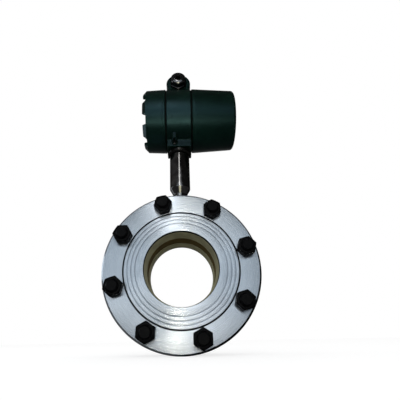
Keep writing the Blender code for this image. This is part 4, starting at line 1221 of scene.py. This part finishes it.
def make_cover_seals():
    for name, node, axis in (
        ("left_seal_ring", "left_cover_seal", "-X"),
        ("right_seal_ring", "right_cover_seal", "+X"),
    ):
        low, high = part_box(node)
        bottom, top = sorted((abs(low.x), abs(high.x)))
        inner, outer = COVER_THREAD_RADIUS, high.z - HOUSING_HEIGHT
        outline = [(inner, top), (outer, top), (outer, bottom), (inner, bottom)]
        turned_piece(name, outline, 0.5 * MM, "seal_rubber", "head", node, axis, HOUSING_POINT)


def gland_body_outline(angle):
    """Hexagon, threaded neck in front of it and thread behind it, as one turned and milled body."""
    side = hex_radius(angle, GLAND_HEX_ACROSS_FLATS, GLAND_HEX_CORNER)
    face = GLAND_HEX_ACROSS_FLATS / 2 * HEX_FACE_SHARE
    back = BOSS_FRONT + CLEARANCE
    front = back + GLAND_HEX_WIDTH
    points = [(GLAND_MOUTH_RADIUS, GLAND_NECK_FRONT), (GLAND_NECK_RADIUS - 0.8 * MM, GLAND_NECK_FRONT)]
    rows = 36
    start = GLAND_NECK_FRONT - 0.6 * MM
    for k in range(rows + 1):
        height = start + (front - start) * k / rows
        radius = thread_radius(height, angle, GLAND_NECK_RADIUS, GLAND_THREAD_PITCH, 0.6 * MM)
        points.append((radius, height))
    end = BOSS_FRONT - GLAND_THREAD_LENGTH
    return points + [
        (GLAND_NECK_RADIUS - 0.3 * MM, front),
        *hex_top(side, face, front),
        (side, back),
        (GLAND_THREAD_RADIUS, back),
        (GLAND_THREAD_RADIUS, end + 0.8 * MM),
        (GLAND_THREAD_RADIUS - 0.8 * MM, end),
        (GLAND_MOUTH_RADIUS, end),
    ]


def gland_nut_outline(angle):
    """The dome nut: a hexagon that its turned nose cuts off, hollow over the neck."""
    side = min(hex_radius(angle, GLAND_NUT_ACROSS_FLATS, GLAND_HEX_CORNER), GLAND_NUT_RADIUS)
    back = BOSS_FRONT + GLAND_HEX_WIDTH + 2 * CLEARANCE
    front = back + GLAND_NUT_LENGTH
    mouth = GLAND_MOUTH_RADIUS + 0.4 * MM
    nose_width = GLAND_NUT_RADIUS - mouth
    points = [(GLAND_MOUTH_RADIUS, front - 0.5 * MM)]
    for k in range(15):
        share = math.radians(90 - 90 * k / 14)
        radius = mouth + nose_width * math.cos(share)
        height = front - (1 - math.sin(share)) * GLAND_NUT_DOME
        if radius > side:
            over = math.acos(min(1.0, (side - mouth) / nose_width))
            radius, height = side, min(height, front - (1 - math.sin(over)) * GLAND_NUT_DOME)
        points.append((radius, height))
    shoulder = GLAND_NECK_FRONT + CLEARANCE
    hollow = GLAND_NECK_RADIUS + CLEARANCE
    points += [(side, back + 0.5 * MM), (side - 0.4 * MM, back), (hollow, back)]
    return points + [(hollow, shoulder), (GLAND_MOUTH_RADIUS, shoulder)]


def make_gland():
    boss = (0, 0, BOSS_HEIGHT)
    fine = hex_angles(12)
    for name, outline_at, finish, body, node in (
        ("gland_fitting", gland_body_outline, "dull_chrome", "head", "gland_body"),
        ("gland_dome_nut", gland_nut_outline, "gland_chrome", "gland_nut", "gland_nut"),
    ):
        new_piece(name, polar_mesh(name, outline_at, fine), finish, body, node, "-Y", boss)
    low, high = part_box("gland_seal")
    outer, inner = high.x, high.x - GLAND_BUSH_WALL
    front, back = -low.y, -high.y
    outline = [(inner + 0.6 * MM, front), (outer, front), (outer, back), (inner, back)]
    outline.append((inner, front - GLAND_BUSH_CHAMFER))
    dress = ("seal_rubber", "head", "gland_seal", "-Y", boss)
    turned_piece("gland_bush", outline, 0.3 * MM, *dress, segments=SMALL_SEGMENTS)


def make_ground_screw():
    back = FOOT_HALF_DEPTH + CLEARANCE
    front = back + SCREW_HEAD_HEIGHT
    tip = FOOT_HALF_DEPTH - SCREW_DEPTH
    outline = [
        (0, front),
        (SCREW_HEAD_RADIUS - 0.9 * MM, front),
        (SCREW_HEAD_RADIUS - 0.25 * MM, front - 0.35 * MM),
        (SCREW_HEAD_RADIUS, front - 0.9 * MM),
        (SCREW_HEAD_RADIUS, back),
        (SCREW_SHANK_RADIUS, back),
        (SCREW_SHANK_RADIUS, tip),
        (0, tip),
    ]
    base = lathe_mesh("slotted_screw", rounded(outline, 0.15 * MM), SMALL_SEGMENTS)
    cube = bmesh.new()
    bmesh.ops.create_cube(cube, size=1)
    blade = bpy.data.meshes.new("blade")
    cube.to_mesh(blade)
    cube.free()
    size = Matrix.Diagonal((3 * SCREW_HEAD_RADIUS, SCREW_SLOT, SCREW_HEAD_HEIGHT, 1))
    mesh = boolean_mesh("slotted_screw", base, [(blade, Matrix.Translation((0, 0, front)) @ size)])
    place = (PAD_CENTRE_X, 0, SCREW_HEIGHT)
    new_piece("slotted_screw", mesh, "screw_steel", "head", "ground_screw", "-Y", place, SCREW_TURN)


def finish_cad_nodes():
    """The pieces inside the housing keep their CAD shape, and get a finish of their own."""
    slots = {row["node"]: row["material_slot"] for row in frame["record"]["subparts"]}
    for name, node in frame["nodes"].items():
        if node.hide_render:
            continue
        node.data.materials.clear()
        node.data.materials.append(finishes[slots[name]])


def area_lamp(name, place, target, size, radiance, colour, spread=180):
    """A rectangular lamp, given by the brightness of its face, with a grid that narrows it to a spread."""
    half = math.radians(spread / 2)
    grid = math.sin(half) ** 2 - (half - math.sin(half) * math.cos(half)) / math.tan(half)
    data = bpy.data.lights.new(name, "AREA")
    data.shape = "RECTANGLE"
    data.size, data.size_y = size
    data.spread = 2 * half
    data.energy = radiance * grid * math.pi * size[0] * size[1]
    data.color = colour
    lamp = bpy.data.objects.new(name, data)
    lamp.location = place
    lamp.rotation_mode = "QUATERNION"
    lamp.rotation_quaternion = (Vector(target) - Vector(place)).to_track_quat("-Z", "Y")
    lamp.visible_camera = False
    bpy.context.scene.collection.objects.link(lamp)


def make_world():
    """A white backdrop behind the meter, and a dim room in front of it for its gloss to show."""
    n = Nodes(bpy.data.worlds.new("studio"))
    bpy.context.scene.world = n.owner
    direction = n.add("ShaderNodeTexCoord").outputs["Generated"]
    backdrop = n.ramp(n.dot(direction, BACKDROP_DIRECTION), *BACKDROP_REACH, ROOM_LIGHT, BACKDROP_GLOSS)
    side = n.ramp(n.dot(direction, BRIGHT_SIDE), 0.0, 1.0, ROOM_LIGHT, BRIGHT_SIDE_LIGHT)
    rays = n.add("ShaderNodeLightPath").outputs
    camera_ray = rays["Is Camera Ray"]
    shown = n.math("MAXIMUM", camera_ray, n.math("MAXIMUM", backdrop, side))
    seen = n.math("MAXIMUM", rays["Is Glossy Ray"], rays["Is Transmission Ray"])
    seen = n.math("MAXIMUM", camera_ray, seen)
    strength = n.add("ShaderNodeMix", {"Factor": seen, "A": AMBIENT_LIGHT, "B": shown})
    background = n.nodes["Background"]
    n.put(background.inputs["Color"], (1, 1, 1, 1))
    n.put(background.inputs["Strength"], strength.outputs["Result"])


def make_floor():
    """A pale floor under the flanges. Lit parts of it come out white, and it keeps the shadow."""
    low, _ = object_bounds()
    half = FLOOR_HALF
    mesh = bpy.data.meshes.new("floor")
    corners = [(-half, -half, low.z), (half, -half, low.z), (half, half, low.z), (-half, half, low.z)]
    mesh.from_pydata(corners, [], [(0, 1, 2, 3)])
    floor = bpy.data.objects.new("floor", mesh)
    bpy.context.scene.collection.objects.link(floor)
    n = material_nodes("pale_floor")
    mesh.materials.append(n.finish(Base_Color=FLOOR_COLOUR, Roughness=0.9, Specular_IOR_Level=0.1))
    pale = n.nodes["Principled BSDF"].outputs[0]
    glow = n.add("ShaderNodeEmission", {"Color": (1, 1, 1, 1), "Strength": FLOOR_GLOW}).outputs[0]
    glowing = n.add("ShaderNodeAddShader", {0: pale, 1: glow}).outputs[0]
    dim = n.add("ShaderNodeBsdfDiffuse", {"Color": FLOOR_IN_GLOSS}).outputs[0]
    rays = n.add("ShaderNodeLightPath").outputs
    unseen = n.choose(rays["Is Glossy Ray"], pale, dim)
    shown = n.choose(rays["Is Camera Ray"], unseen, glowing)
    n.put(n.nodes["Material Output"].inputs["Surface"], shown)


def make_lights():
    """Strips for the lines of light, wide boxes to fill, a gridded lamp from below, and one for the rim."""
    area_lamp("low_strip", (0.07, -1.25, 0.25), (0, 0, 0.10), (0.06, 0.38), 2.4, (1.0, 0.96, 0.88))
    area_lamp("base_strip", (-0.03, -1.25, -0.03), (0, 0, -0.10), (0.03, 0.14), 42.0, (1.0, 0.91, 0.74))
    area_lamp("bow_strip", (0.04, -1.25, 0.58), (0, 0, 0.10), (0.08, 0.30), 1.1, (1.0, 0.96, 0.90))
    area_lamp("high_strip", (-0.13, -1.25, 0.86), (0, 0, 0.18), (0.19, 0.56), 4.0, (1.0, 1.0, 1.0))
    area_lamp("high_box", (0.0, -1.27, 0.70), (0, 0, 0.18), (0.60, 0.42), 0.4, (0.90, 0.96, 1.0))
    area_lamp("low_box", (-0.25, -1.6, 0.03), (0, 0, 0), (1.2, 0.26), 1.1, (1.0, 0.99, 0.95))
    area_lamp("wide_box", (-0.3, -2.0, 0.35), (0, 0, 0.20), (2.8, 1.3), 0.83, (0.78, 0.90, 1.0))
    area_lamp("low_warm", (-0.01, -0.5, -0.075), (0, -0.04, 0.3), (0.36, 0.18), 10.0, (1.0, 1.0, 0.74), 40)
    area_lamp("left_rim", (-1.3, 0.3, 0.28), (0, 0, 0), (1.0, 0.4), 2.0, (0.85, 0.93, 1.0))


def make_camera():
    data = bpy.data.cameras.new("camera")
    data.sensor_width = SENSOR_WIDTH
    data.lens = CAMERA_FOCAL_PIXELS / PHOTO_PIXELS * SENSOR_WIDTH
    data.shift_x = (PHOTO_PIXELS / 2 - CAMERA_CENTRE_X) / PHOTO_PIXELS
    data.clip_start, data.clip_end = 0.01, 100
    camera = bpy.data.objects.new("camera", data)
    look = Vector((0, math.cos(CAMERA_PITCH), math.sin(CAMERA_PITCH)))
    turn = look.to_track_quat("-Z", "Y").to_matrix().to_4x4() @ Matrix.Rotation(CAMERA_ROLL, 4, "Z")
    camera.matrix_world = Matrix.Translation(CAMERA_PLACE) @ turn
    bpy.context.scene.collection.objects.link(camera)
    bpy.context.scene.camera = camera


for start_object in list(bpy.data.objects):
    bpy.data.objects.remove(start_object)
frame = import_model()
bpy.context.scene.view_settings.view_transform = "Standard"
make_camera()
make_world()
make_floor()
make_lights()
finishes = make_finishes()
make_flanges()
make_sensor_body()
make_sleeves()
make_gaskets()
make_nuts()
make_bolts()
make_stem()
make_lock_collar()
make_housing()
make_left_cover()
make_right_cover()
make_cover_seals()
make_gland()
make_ground_screw()
finish_cad_nodes()
